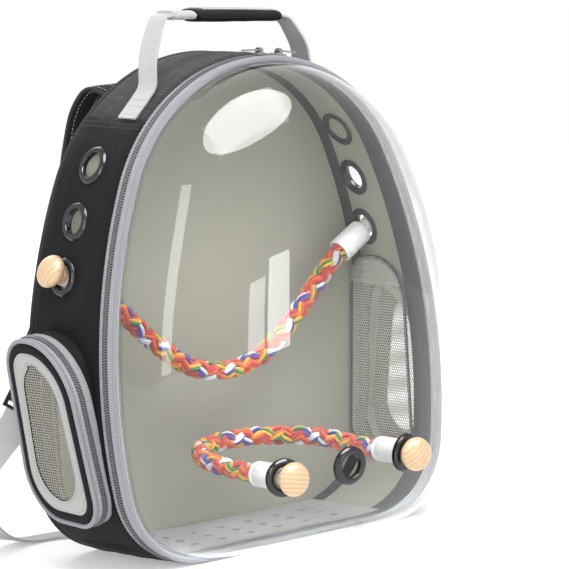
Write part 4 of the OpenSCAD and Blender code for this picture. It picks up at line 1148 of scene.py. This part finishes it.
def make_pod(side, word):
    door = f"pod_door_{word}"
    piece(f"pod_body_tape_{word}", pod_strip(side, 0.1, 1.1, -19.6, -POD_SPLIT - 0.2), TAPE, "bag",
        "zip_tape")
    coil_piece(f"pod_body_coil_{word}", pod_strip(side, -0.1, 0.4, -POD_SPLIT - 2.4, -POD_SPLIT - 0.2, 0.2),
        pod_teeth(-POD_SPLIT - 2.2, -POD_SPLIT - 0.3, side, 0.0), "bag")
    bare_piece(f"pod_body_stitches_{word}", pod_stitches(0.1, -17.8, side, True, pitch=3.4, length=2.3,
        r=0.26), THREAD_GREY, "bag", "zip_tape")
    piece(f"pod_door_tape_{word}", join(pod_strip(side, 0.4, 1.4, -POD_SPLIT + 0.2, -3.6),
        pod_strip(side, 1.4, 3.0, -POD_SPLIT + 0.2, -3.6)), TAPE, door, "zip_tape",
        replaces=[f"pod_tape_{word}"])
    coil_piece(f"pod_door_coil_{word}", pod_strip(side, -0.1, 0.4, -POD_SPLIT + 0.2, -POD_SPLIT + 2.4, 0.2),
        pod_teeth(-POD_SPLIT + 0.3, -POD_SPLIT + 2.2, side, 0.5), door)
    bare_piece(f"pod_door_stitches_{word}", join(*[pod_stitches(0.4, c, side, True, pitch=3.0, length=2.1,
        r=0.24) for c in (-7.4, -4.6)]), THREAD_DARK, door, "zip_tape")
    piece(f"pod_piping_cloth_{word}", join(pod_loop(circle(2.0, 12, 1.4, -1.4), side),
        pod_strip(side, 1.8, 3.8, -3.2, -1.2)), PIPING, door, "piping", smooth=180,
        replaces=[f"pod_piping_{word}"])
    crown = [(3.45, -2.6), (3.45, -0.9), (4.2, -0.1), (6.0, 0.5), (8.5, 0.75), (11.0, 0.4), (12.2, -0.2),
        (21.0, -0.2), (21.3, -1.2), (21.3, -2.9), (3.8, -2.9)]
    piece(f"pod_face_cloth_{word}", pod_loop(crown, side), BLACK, door, "black_fabric", smooth=50,
        replaces=[f"pod_face_{word}"])
    band = [(BAND_IN, -0.3), (11.7, 0.75), (13.0, 1.15), (16.5, 1.3), (19.6, 1.1), (20.7, 0.7),
        (BAND_OUT, -0.3)]
    piece(f"pod_border_cloth_{word}", pod_loop(band, side), BORDER, door, "pale_border", smooth=60)
    bare_piece(f"pod_border_stitches_{word}", join(*[pod_stitches(inset, c, side, pitch=3.6, length=2.5,
        r=0.3) for inset, c in ((13.0, 1.12), (19.4, 1.1))]), THREAD_GREY, door, "pale_border")
    line = pod_at(19.5) - [0, POD_TOP]
    place = lambda q: pod_point(q[:, 0], q[:, 1], q[:, 2] - 1.2, side)
    piece(f"pod_net_knit_{word}", knit(inside_of((line, POD_NORMAL)), ((-45, -POD_TOP + 35), (60, 2)), place),
        NET, door, "net", smooth=70, replaces=[f"pod_net_{word}"])


NET = plain("net_knit", (0.42, 0.405, 0.35), 0.8, 0.15, 0.04, 400, Sheen_Weight=0.2)
for word, side in SIDES:
    make_gusset(side, word)
    make_pod(side, word)


# ---------- inner nets ----------
NET_IN = 3.4 + 1.2 + 0.3
NET_LOW, NET_TOP = 41.0, 222.0
NET_CORNERS = [(-41, NET_LOW), (52.6, NET_LOW + 1), (38.5, NET_TOP), (-36.5, NET_TOP)]
NET_LINE, NET_NORMAL = rounded(NET_CORNERS, [16, 28, 26, 44])
NET_LOW_X, NET_HIGH_X = float(half_w(NET_LOW, NET_IN)), float(half_w(NET_TOP, NET_IN))
NET_TILT = math.atan2(NET_HIGH_X - NET_LOW_X, NET_TOP - NET_LOW)


def net_point(a, b, c, side=1):
    """A point on the inner net's plane: a along the depth, b height below its top, c outwards"""
    x = NET_HIGH_X + c * math.cos(NET_TILT) + b * math.sin(NET_TILT)
    z = NET_TOP + b * math.cos(NET_TILT) - c * math.sin(NET_TILT)
    return xyz(side * x, a, z)


def make_inner_net(side, word):
    line = NET_LINE - [0, NET_TOP]
    n = len(line)
    place = lambda q: net_point(q[:, 0], q[:, 1], q[:, 2] - 0.4, side)
    parts = [knit(inside_of((line, NET_NORMAL), 1.0), ((-45, -185), (60, 2)), place)]
    inner = inside_of((line, NET_NORMAL), 1.0)
    parts.append(knit(lambda p: inner(p) & (p[:, 1] > -26), ((-44.4, -26), (60, 2)),
        lambda q: net_point(q[:, 0], q[:, 1], q[:, 2] - 0.9, side), pitch=1.9))
    piece(f"inner_net_knit_{word}", join(*parts), NET, "bag", "net", smooth=70,
        replaces=[f"inner_net_{word}"])
    section = [(0.0, -0.7), (0.0, -0.15), (0.5, 0.0), (3.4, 0.0), (3.9, -0.15), (3.9, -0.7), (3.4, -0.85),
        (0.5, -0.85)]
    rows = [(line + NET_NORMAL * inset, c) for inset, c in section]
    p = np.stack([net_point(q[:, 0], q[:, 1], c, side) for q, c in rows], 1)
    u = np.stack([np.repeat(np.arange(n) * 2.0, len(section)), np.tile(np.linspace(0, 9, len(section)), n)],
        -1)
    new_object(f"inner_net_hem_{word}", p.reshape(-1, 3), grid_faces(n, len(section), True, True), BIND,
        "bag", "net", uv=u)
    q = line + NET_NORMAL * 2.0
    q = np.concatenate([q, q[:1]])
    p = net_point(q[:, 0], q[:, 1], np.full(len(q), -0.85), side)
    m = net_point(q[:, 0], q[:, 1], np.full(len(q), -1.85), side) - p
    bare_piece(f"inner_net_stitches_{word}", stitch_row(p, m, pitch=3.4, length=2.4, r=0.25), THREAD_GREY,
        "bag", "net")


for word, side in SIDES:
    make_inner_net(side, word)


# ---------- eyelets, washers, sleeves and knobs -------
def arch(r0, r1, base, height, n=14):
    """The rolled top of an eyelet, from its hole to its rim"""
    k = np.linspace(0, 1, n)
    x = r0 + (r1 - r0) * k
    h = height * (1 - np.abs(2 * np.clip((k - 0.02) / 0.96, 0, 1) * 0.82 - 0.62) ** 2.6)
    h = np.maximum(h, 0.05)
    h[0] = height * 0.42
    return [(float(a), float(base + b)) for a, b in zip(x, h)]


def eyelet_profile(r, hole, wall):
    """A rolled eyelet with its barrel through a wall, turned about its axis"""
    top = arch(hole, r, 0.1, 2.3)
    return [(hole + 1.2, -wall - 1.3), (hole + 0.6, -wall - 1.7), (hole, -wall - 1.2),
        (hole - 0.05, 0.2)] + top + [(r, 0.12), (hole + 1.2, 0.12)]


def washer_profile(r, hole, z):
    """The washer on an eyelet's inner side, its face at z"""
    return [(hole + 1.35, z + 1.1), (hole + 1.35, z + 0.2), (hole + 1.8, z), (r - 0.9, z),
        (r - 0.2, z + 0.25), (r, z + 0.7), (r - 0.2, z + 1.15)]


def turned(profile, m, n=64):
    v, f, u = lathe(profile, n)
    return np.asarray([m @ Vector(p) for p in v]), f, u


parts = [turned(eyelet_profile(17, 11, 3.0), wall_eye(i, s)) for s in (1, -1) for i in range(3)]
bare_piece("side_eyelets_rolled", join(*parts), GUN, "bag", "gunmetal", smooth=60, replaces=["side_grommets"])
parts = [turned(washer_profile(17, 11, -3.0 - 1.2 - (1.1 if i == 2 else 0.4)), wall_eye(i, s))
    for s in (1, -1) for i in range(3)]
bare_piece("side_washers_turned", join(*parts), GUN, "bag", "gunmetal", smooth=60, replaces=["side_washers"])
DOME_EYES = [place_mat(on_dome(x, EYE_Z), dome_normal(x, EYE_Z)) for x in (-EYE_X, 0, EYE_X)]
bare_piece("door_eyelets_rolled", join(*[turned(eyelet_profile(16.5, 10, DOME_T + 0.6), m)
    for m in DOME_EYES]), GUN, "front_door", "gunmetal", smooth=60, replaces=["door_grommets"])
bare_piece("door_washers_turned", join(*[turned(washer_profile(16.5, 10, -DOME_T - 1.2 - 0.9), m)
    for m in DOME_EYES]), GUN, "front_door", "gunmetal", smooth=60, replaces=["door_washers"])

UPPER_PLACE = {s: place_mat((s * UPPER_X, WALL_EYE_Y, WALL_EYE_Z), (s * C30, 0, S30)) for s in (1, -1)}
LOWER_PLACE = {s: place_mat((s * EYE_X, LOWER_Y, EYE_Z), (0, -1, 0), (1, 0, 0)) for s in (1, -1)}


def sleeve_profile(s):
    """A moulded end sleeve: lip, two shallow rings, shoulder and nose"""
    low = -s - 30
    return [(9.0, low), (10.4, low), (10.9, low + 0.5), (11.0, low + 1.2), (11.0, low + 3.2),
        (10.7, low + 3.6), (10.7, low + 4.2), (11.0, low + 4.6),
            (10.9, -s - 1.6), (10.6, -s - 0.7), (9.9, -s - 0.15), (9.3, -s), (7.4, -s), (7.0, -s + 0.4),
            (7.0, -0.8), (6.6, -0.3),
            (3.1, -0.3), (3.1, -s - 5), (9.0, -s - 5)]


def knob_profile():
    """A turned wooden knob: neck, ball flattened at its end, and the blind hole for its rod"""
    out = [(3.1, 0.0), (6.9, 0.0), (7.4, 0.5), (7.4, 4.6)]
    for a in np.linspace(-62, 86, 26):
        k = math.radians(a)
        out.append((14.5 * max(0.0, math.cos(k)) ** 0.86, 13.5 + 9.0 * (abs(math.sin(k)) ** 1.1)
            * (1 if a > 0 else -1)))
    return out + [(0.03, 22.5), (0.03, 14.6), (3.1, 14.5)]


for word, s in SIDES:
    for row, place, body in (("upper", UPPER_PLACE[s], f"knob_u{word[0]}"),
            ("lower", LOWER_PLACE[s], f"knob_l{word[0]}")):
        m = place @ Matrix.Rotation(math.radians({"upper": 40, "lower": 115}[row] * s), 4, "Z")
        bare_piece(f"knob_{row}_{word}_turned", lathe(knob_profile(), 72), WOOD, body, "wood", smooth=45,
            replaces=[f"knob_{row}_{word}"], place=scaled(m), weld=0.08)
for row, places, s, body in (("upper", UPPER_PLACE, 8.0, "bag"), ("lower", LOWER_PLACE, 6.5, "front_door")):
    bare_piece(f"{row}_sleeves_moulded", join(*[turned(sleeve_profile(s), m, 56) for m in places.values()]),
        WHITE, body, "white_plastic", smooth=40, replaces=[f"{row}_ferrules"])


# ---------- carrying handle ----------
def webbing_section(width, thick):
    """A woven band's section: thin, with slightly fuller edges"""
    w, t = width / 2, thick / 2
    return [(w, 0), (w - 0.3, t * 0.9), (w - 1.6, t), (w - 3.2, t * 0.86), (0, t * 0.86),
        (-w + 3.2, t * 0.86), (-w + 1.6, t), (-w + 0.3, t * 0.9),
            (-w, 0), (-w + 0.3, -t * 0.9), (-w + 1.6, -t), (-w + 3.2, -t * 0.86), (0, -t * 0.86),
            (w - 3.2, -t * 0.86), (w - 1.6, -t), (w - 0.3, -t * 0.9)]


HANDLE_Y, BAR_Z = -20.0, 453.5
LEG = [(106, 378.2), (100.5, 383.2), (94.5, 388.8), (88.8, 394.4), (84.2, 399.0), (81.7, 404.2), (81.0, 410),
    (80.3, 418), (77.8, 427), (73.2, 437.5),
       (68.0, 447.2), (63.8, 451.9), (57.5, BAR_Z), (48, BAR_Z), (30, BAR_Z), (14, BAR_Z)]


def squared(c, power):
    """A sine or cosine pressed outwards, so that a round section turns boxy"""
    return np.sign(c) * np.abs(c) ** power


def level(v):
    """The handle hangs a little to one side, as it does when it has been let go"""
    v = np.array(v, float)
    v[..., 2] -= 0.12 * v[..., 0] * np.clip((v[..., 2] - 410) / 43.5, 0, 1)
    return v


def make_handle():
    half = [(x, HANDLE_Y, z) for x, z in LEG]
    route = half + [(0, HANDLE_Y, BAR_Z)] + [(-x, y, z) for x, y, z in half[::-1]]
    path = smooth_path(route, 1.5)
    v, f, u = sweep(path, webbing_section(25, 2.2), side=(0, 1, 0))
    # the legs are drawn in a little where they bend into the bar
    bend = np.exp(-((np.abs(v[:, 0]) - 66) / 9) ** 2) * np.clip((v[:, 2] - 430) / 10, 0, 1)
    v[:, 1] = HANDLE_Y + (v[:, 1] - HANDLE_Y) * (1 - 0.12 * bend)
    v[:, 2] += 0.5 * wobble(v, 16, 2.0) * np.clip((v[:, 2] - 425) / 10, 0,
        1) * np.clip((np.abs(v[:, 0]) - 56) / 5, 0, 1)
    o = new_object("handle_webbing_band", level(v), f, WEB, None, "webbing", smooth=40, uv=u,
        replaces=["handle_tabs", "handle_webbing"])
    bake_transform(o)


TOP_ARC_R = TOP_R + 2


def make_foot_stitches():
    """Two rows along each foot of the handle and three across it"""
    rows = []
    for s in (1, -1):
        foot = [(s * x, HANDLE_Y, z) for x, z in LEG[:4]]
        line = smooth_path(foot, 1.0)
        nor = xyz(line[:, 0] / TOP_ARC_R, 0, (line[:, 2] - TOP_CZ) / TOP_ARC_R)
        for dy in (-10.5, 10.5):
            rows.append(stitch_row(line + [0, dy, 0] + nor * 0.95, nor, pitch=3.2, length=2.2, r=0.3))
        for k in (0.18, 0.55, 0.85):
            c = line[int(k * (len(line) - 1))]
            n = nor[int(k * (len(line) - 1))]
            y = np.linspace(-10.5, 10.5, 12)
            rows.append(stitch_row(xyz(c[0], y + HANDLE_Y, c[2]) + n * 0.95, np.repeat(n[None], 12, 0),
                pitch=3.0, length=2.1, r=0.3))
    bare_piece("handle_foot_stitches", join(*rows), THREAD_PALE, "bag", "webbing")


def make_wrap():
    """Webbing wound round the bar beside the grip"""
    x = np.linspace(-57.5, -35.0, 40)
    n_a = 40
    a = np.linspace(0, 2 * math.pi, n_a, endpoint=False)
    k = (x - x[0]) / (x[-1] - x[0])
    swell = 1 - 0.2 * np.exp(-k * 14) - 0.16 * np.exp(-(1 - k) * 14)
    folds = 0.55 * np.sin(k[:, None] * 2 * math.pi * 2.2 + 1.1 * np.sin(a)[None]
        + 0.6) + 0.3 * np.sin(k[:, None] * 31 + 2 * a[None])
    wy = (13.0 + 0.2 * folds) * squared(np.cos(a), 0.55)[None]
    wz = (3.5 * swell[:, None] + 0.75 * folds) * squared(np.sin(a), 0.75)[None]
    p = xyz(x[:, None], HANDLE_Y + wy, BAR_Z + wz)
    f = grid_faces(len(x), n_a, False, True).tolist() + ends(len(x), n_a)
    u = np.stack([np.repeat(x, n_a), np.tile(np.linspace(0, 60, n_a), len(x))], -1)
    new_object("handle_wrap", level(p.reshape(-1, 3)), f, WEB, "handle", "webbing", smooth=60, uv=u)


def make_grip():
    """Padded grip: cloth cushions round the bar, drawn in at the ends and along the seam"""
    x0, x1 = -34.0, 54.0
    x = np.concatenate([np.linspace(x0, x0 + 6, 9)[:-1], np.linspace(x0 + 6, x1 - 6, 44),
        np.linspace(x1 - 6, x1, 9)[1:]])
    n_a = 56
    a = np.linspace(0, 2 * math.pi, n_a, endpoint=False)
    edge = np.minimum(x - x0, x1 - x)
    full = np.clip(edge / 5.0, 0, 1)
    full = np.sqrt(1 - (1 - full) ** 2) * 0.35 + 0.65
    wy = 14.0 * squared(np.cos(a), 0.5)
    wz = 5.5 * squared(np.sin(a), 0.72)
    pinch = 1 - 0.13 * np.exp(-((np.sin(a) + 0.35) / 0.09) ** 2) * (np.cos(a) < 0)
    p = xyz(x[:, None], HANDLE_Y + wy[None] * (0.96 + 0.04 * full[:, None]) * pinch[None],
        BAR_Z + wz[None] * full[:, None])
    out = p - np.array([0, HANDLE_Y, BAR_Z])
    out[..., 0] = 0
    out /= np.maximum(1e-6, np.linalg.norm(out, axis=2))[..., None]
    p = p + out * (0.5 * wobble(p, 13, 6.0) * np.clip(edge / 8, 0, 1)[:, None])[..., None]
    f = grid_faces(len(x), n_a, False, True).tolist() + ends(len(x), n_a)
    u = np.stack([np.repeat(x, n_a), np.tile(np.linspace(0, 72, n_a), len(x))], -1)
    o = new_object("handle_grip_cloth", level(p.reshape(-1, 3)), f, GRIP, "handle", "padded_grip", smooth=60,
        uv=u, replaces=["handle_grip"])
    x = np.linspace(x0 + 3, x1 - 3, 60)
    line = xyz(x, HANDLE_Y - 13.2, BAR_Z - 2.0)
    v, f, _ = stitch_row(line, np.tile([[0, -1, 0]], (60, 1)), pitch=3.4, length=2.4, r=0.28)
    new_object("handle_grip_stitches", level(v), f, THREAD_DARK, "handle", "padded_grip")


def make_top_strip():
    """The pale strip sewn along the top of the grip"""
    x = np.linspace(-27, 47, 37)
    lift = 5.45 + 0.25 * np.sin((x + 27) / 74 * math.pi)
    v, f, u = sweep(xyz(x, HANDLE_Y - 1.0, BAR_Z + lift), webbing_section(21, 1.5), side=(0, 1, 0))
    new_object("handle_top_strip", level(v), f, WEB, "handle", "webbing", smooth=40, uv=u)
    rows = []
    for dy in (-9.3, 7.3):
        rows.append(stitch_row(xyz(x, HANDLE_Y + dy, BAR_Z + lift + 0.7), np.tile([[0, 0, 1.0]], (len(x), 1)),
            pitch=3.2, length=2.3, r=0.28))
    v, f, u = join(*rows)
    new_object("handle_top_stitches", level(v), f, THREAD_PALE, "handle", "webbing")


make_handle()
make_foot_stitches()
make_wrap()
make_grip()
make_top_strip()


# ---------- shoulder straps and back pad ----------
def off_back(z, d):
    """A depth d behind the pad's root at a height"""
    return float(back_at(z)) + 4.5 + d


STRAP_ROUTE = [(45, off_back(330, 0.4), 330), (46, off_back(352, 0.6), 352), (48, off_back(374, 4), 374),
    (50, 56, 391), (54, 76, 393),
               (60, 90, 376), (66, 97, 345), (73, 99, 310), (82, 98, 275), (93, 96, 240), (108, 93, 206),
               (128, 92, 173), (150, 93, 143)]
WEB_ROUTE = [(163.36, 93.61, 124.78), (169.09, 93.87, 116.96), (188, 97, 98), (200, 108, 76), (196, 124, 50),
    (178, 140, 24), (152, 150, 8),
             (124, 154, 1.6), (99, 150, 1.4), (83, 136, 1.4), (75, 114, 1.4), (73, 94, 1.4), (73, 73.8, 1.4)]


def follow(route, path, values):
    """Values given at a route's points, spread along its smooth path"""
    route, values = np.asarray(route, float), np.asarray(values, float)
    at = [int(np.argmin(((path - q) ** 2).sum(1))) for q in route]
    at[0], at[-1] = 0, len(path) - 1
    return spread(np.arange(len(path)), at, values)


def make_strap(side, word):
    flip = np.array([side, 1, 1])
    half, top_t, low_t = 23.6, 3.9, 3.7
    n = len(STRAP_ROUTE) - 1
    path = smooth_path(STRAP_ROUTE, 2.6)
    across = follow(STRAP_ROUTE, path, [(1, 0.38 * i / n, 0) for i in range(n + 1)])
    s = np.linspace(0, 1, len(path))
    length = np.linalg.norm(np.diff(path, axis=0), axis=1).sum()
    end = np.clip(np.minimum(s, 1 - s) * length / 16, 0, 1)
    w = np.stack([0.72 + 0.28 * np.sqrt(1 - (1 - end) ** 2), 0.45 + 0.55 * np.sqrt(1 - (1 - end) ** 2)], -1)
    u = np.linspace(-1, 1, 21)
    crown = (1 - np.abs(u) ** 3.2) ** 0.7
    seams = 1 - 0.34 * np.exp(-((np.abs(u) - 0.36) / 0.055) ** 2)
    seams -= 0.3 * np.exp(-((np.abs(u) - 0.84) / 0.05) ** 2)
    top = [(half * a, 0.5 + top_t * c * m) for a, c, m in zip(u, crown, seams)]
    low = [(half * a, -0.5 - low_t * c * (0.6 + 0.4 * m)) for a, c, m in zip(u, crown, seams)]
    section = top + low[::-1]
    v, f, uv = sweep(path, section, side=across, scale=w)
    v = v + 0.35 * (wobble(v, 24, side * 2.0)[:, None]) * np.array([0.3, 1, 0.5])
    o = new_object(f"strap_pad_cloth_{word}", v * flip, f, PADCLOTH, "bag", "black_fabric", smooth=50, uv=uv,
        replaces=[f"strap_pad_{word}"])
    _, a, b = frames(path, across)
    loop = [path + a * (half * w[:, :1]), (path - a * (half * w[:, :1]))[::-1]]
    loop = smooth_path(np.concatenate(loop)[::3], 3.0, closed=True)
    v, f, uv = sweep(loop, [(1.5 * p, 1.9 * q) for p, q in circle(1.0, 10)], closed=True)
    new_object(f"strap_binding_{word}", v * flip, f, BIND, "bag", "binding", smooth=180, uv=uv)
    rows = []
    keep = slice(5, len(path) - 5)
    for at in (0.36, 0.84):
        for m in (1, -1):
            top_y = 0.5 + top_t * np.interp(at, u, crown * seams)
            low_y = -0.5 - low_t * np.interp(at, u, crown * (0.6 + 0.4 * seams))
            for sign, depth in ((1, top_y), (-1, low_y)):
                line = path + a * (m * half * at * w[:, :1]) + b * (depth * w[:, 1:])
                rows.append(stitch_row(line[keep], (b * sign)[keep], pitch=3.8, length=2.7, r=0.3))
    v, f, uv = join(*rows)
    new_object(f"strap_stitches_{word}", v * flip, f, THREAD_GREY, "bag", "black_fabric")


def make_strap_webbing(side, word):
    flip = np.array([side, 1, 1])
    path = smooth_path(WEB_ROUTE, 2.0)
    tr = np.gradient(np.asarray(WEB_ROUTE, float), axis=0)
    tr /= np.linalg.norm(tr, axis=1)[:, None]
    across = follow(WEB_ROUTE, path, [(1, 0.38 + 0.05 * i, 0) if i < 5 else (tr[i][1], -tr[i][0], 0)
        for i in range(len(WEB_ROUTE))])
    path = path + np.array([0, 0, 0.1])
    v, f, uv = sweep(path, webbing_section(27, 2.0), side=across)
    new_object(f"strap_webbing_band_{word}", v * flip, f, WEB, "bag", "webbing", smooth=40, uv=uv,
        replaces=[f"strap_webbing_{word}"])


for word, side in SIDES:
    make_strap(side, word)
    make_strap_webbing(side, word)


PAD_Z, PAD_W, PAD_H, PAD_CROWN = 197.4, 210, 250, 9.0


def pad_xz(u, v):
    """Width and height on the pad from its two shares; its sides are drawn in by a twentieth halfway up"""
    return (u - 0.5) * PAD_W * (1 - 0.05 * (1 - (2 * v - 1) ** 2)), PAD_Z + (v - 0.5) * PAD_H


def make_pad():
    """The quilted back pad: five sewn channels, crowned, drawn in along its edge and puckered at the seams"""
    nu, nv = 90, 130
    u, v = np.meshgrid(np.linspace(0, 1, nu), np.linspace(0, 1, nv), indexing="ij")
    x, z = pad_xz(u, v)
    seam = np.abs(np.sin(math.pi * v * 5))
    crown = PAD_CROWN * (1 - np.abs(2 * u - 1) ** 5) * (1 - np.abs(2 * v - 1) ** 8) * (0.4 + 0.6 * seam**0.6)
    q = xyz(x, 0, z)
    pucker = wobble(q * [1, 1, 0.25], 9, 3.0) * np.exp(-seam * 3.5) * 0.9 + 0.6 * wobble(q, 30, 8.0)
    h = 1 + crown + pucker * np.clip(crown / 3, 0, 1)
    base = back_at(z) + 1.6
    v0, f, uv = slab(xyz(x, base + h, z), xyz(x, base - 0.4, z))
    o = new_object("back_pad_cloth", v0, f, PADCLOTH, "bag", "black_fabric", smooth=50, uv=uv,
        replaces=["back_pad"])
    rows = []
    for k in range(1, 5):
        zz = PAD_Z + (k / 5 - 0.5) * PAD_H
        xx = np.linspace(-96, 96, 120)
        c = PAD_CROWN * (1 - np.abs(xx / (PAD_W / 2) / 0.96) ** 5) * 0.4
        rows.append(stitch_row(xyz(xx, float(back_at(zz)) + 2.5 + c, zz), np.tile([[0, 1.0, 0]], (120, 1)),
            pitch=4.2, length=3.0, r=0.34))
    bare_piece("back_pad_stitches", join(*rows), THREAD_GREY, "bag", "black_fabric")
    wide, high = np.linspace(0, 1, 24)[:-1], np.linspace(0, 1, 30)[:-1]
    edge = [(t, 0) for t in wide] + [(1, t) for t in high] + [(1 - t, 1) for t in wide] + [(0, 1 - t)
        for t in high]
    loop = []
    for uu, vv in edge:
        xx, zz = pad_xz(uu, vv)
        loop.append((xx, float(back_at(zz)) + 2.2, zz))
    piece("back_pad_binding", sweep(smooth_path(loop, 2.5, closed=True), circle(1.7, 10), closed=True), BIND,
        "bag", "binding", smooth=180)


make_pad()


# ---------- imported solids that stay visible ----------
for name, mat, bevel in (("floor_tray", TRAY, 0.5), ("upper_bolts", ROD, 0.15), ("lower_bolts", ROD, 0.15),
        ("ladder_locks", BUCKLE, 0.5),
                         ("zip_slider_left", STEEL, 0.35), ("zip_slider_right", STEEL, 0.35),
                         ("zip_pull_left", STEEL, 0.25), ("zip_pull_right", STEEL, 0.25)):
    o = bpy.data.objects[name]
    if o.material_slots:
        for k in o.material_slots:
            k.material = mat
    else:
        o.data.materials.append(mat)
    m = o.modifiers.new("edges", "BEVEL")
    m.width, m.segments, m.limit_method, m.angle_limit = bevel * MM, 3, "ANGLE", math.radians(40)
    m.harden_normals = False


# ---------- floor, world and lamps ----------
def stage():
    p = Paint("floor_white", 0.85)
    p.set(p.b, {"Base Color": (0.93, 0.93, 0.93)})
    # camera, glossy and transmission rays see the floor a little lighter, so that it meets the white ground
    rays = [p.add("LightPath", out=k) for k in (0, 3, 6)]
    seen = p.math("MAXIMUM", p.math("MAXIMUM", rays[0], rays[1]), rays[2])
    glow = p.add("Emission", {"Color": (1, 1, 1), "Strength": p.math("MULTIPLY", seen, 0.34)})
    both = p.add("AddShader", {0: p.b.outputs[0], 1: glow})
    p.t.links.new(both, p.t.nodes["Material Output"].inputs[0])
    n, half_size = 40, 2.0
    k = np.linspace(-half_size, half_size, n)
    v = [(x, y, -0.0004) for x in k for y in k]
    me = bpy.data.meshes.new("floor")
    me.from_pydata(v, [], grid_faces(n, n).tolist())
    me.materials.append(p.m)
    o = bpy.data.objects.new("floor", me)
    bpy.context.scene.collection.objects.link(o)


def world():
    w = bpy.data.worlds.new("studio")
    bpy.context.scene.world = w
    w.use_nodes = True
    t = w.node_tree
    out = t.nodes["World Output"]
    light = t.nodes["Background"]
    light.inputs[0].default_value = (1, 1, 1, 1)
    light.inputs[1].default_value = 0.66
    seen = t.nodes.new("ShaderNodeBackground")
    seen.inputs[0].default_value = (1, 1, 1, 1)
    seen.inputs[1].default_value = 1.0
    path = t.nodes.new("ShaderNodeLightPath")
    glossy, through = (t.nodes.new("ShaderNodeMath") for _ in range(2))
    glossy.operation = through.operation = "MAXIMUM"
    t.links.new(path.outputs["Is Camera Ray"], glossy.inputs[0])
    t.links.new(path.outputs["Is Glossy Ray"], glossy.inputs[1])
    t.links.new(glossy.outputs[0], through.inputs[0])
    t.links.new(path.outputs["Is Transmission Ray"], through.inputs[1])
    both = t.nodes.new("ShaderNodeMixShader")
    t.links.new(through.outputs[0], both.inputs[0])
    t.links.new(light.outputs[0], both.inputs[1])
    t.links.new(seen.outputs[0], both.inputs[2])
    t.links.new(both.outputs[0], out.inputs[0])


def lamp(name, at, aim, size, power, shape_y=None):
    """An area lamp, turned to its aim"""
    d = bpy.data.lights.new(name, "AREA")
    d.energy, d.size = power, size
    if shape_y:
        d.shape, d.size_y = "RECTANGLE", shape_y
    o = bpy.data.objects.new(name, d)
    bpy.context.scene.collection.objects.link(o)
    at, aim = Vector(at), Vector(aim)
    o.location = at
    o.rotation_euler = (at - aim).to_track_quat("Z", "Y").to_euler()
    return o


stage()
world()
lamp("overhead", (0.05, -1.0, 2.35), (0, -0.13, 0.3), 2.0, 34, shape_y=1.7)
lamp("strip", (-1.86, -1.1, 0.75), (-0.1, -0.12, 0.25), 0.42, 10, shape_y=1.5)
lamp("rear", (0.5, 1.8, 1.5), (0, 0, 0.2), 1.0, 12)
# lamps that show only as reflections: a round soft box above and two panes low in front
for name, at, aim, size, power, size_y, shape in (
        ("soft_box", (0.02, -1.02, 2.34), (-0.05, -0.12, 0.37), 2.5, 115, 2.1, "ELLIPSE"),
        ("pane_high", (0.18, -1.22, 0.145), (-0.06, -0.15, 0.22), 0.2, 1.3, 0.23, "RECTANGLE"),
        ("pane_low", (-0.03, -1.24, 0.12), (-0.08, -0.15, 0.21), 0.16, 0.45, 0.15, "RECTANGLE")):
    o = lamp(name, at, aim, size, power, shape_y=size_y)
    o.data.shape = shape
    o.visible_diffuse = False
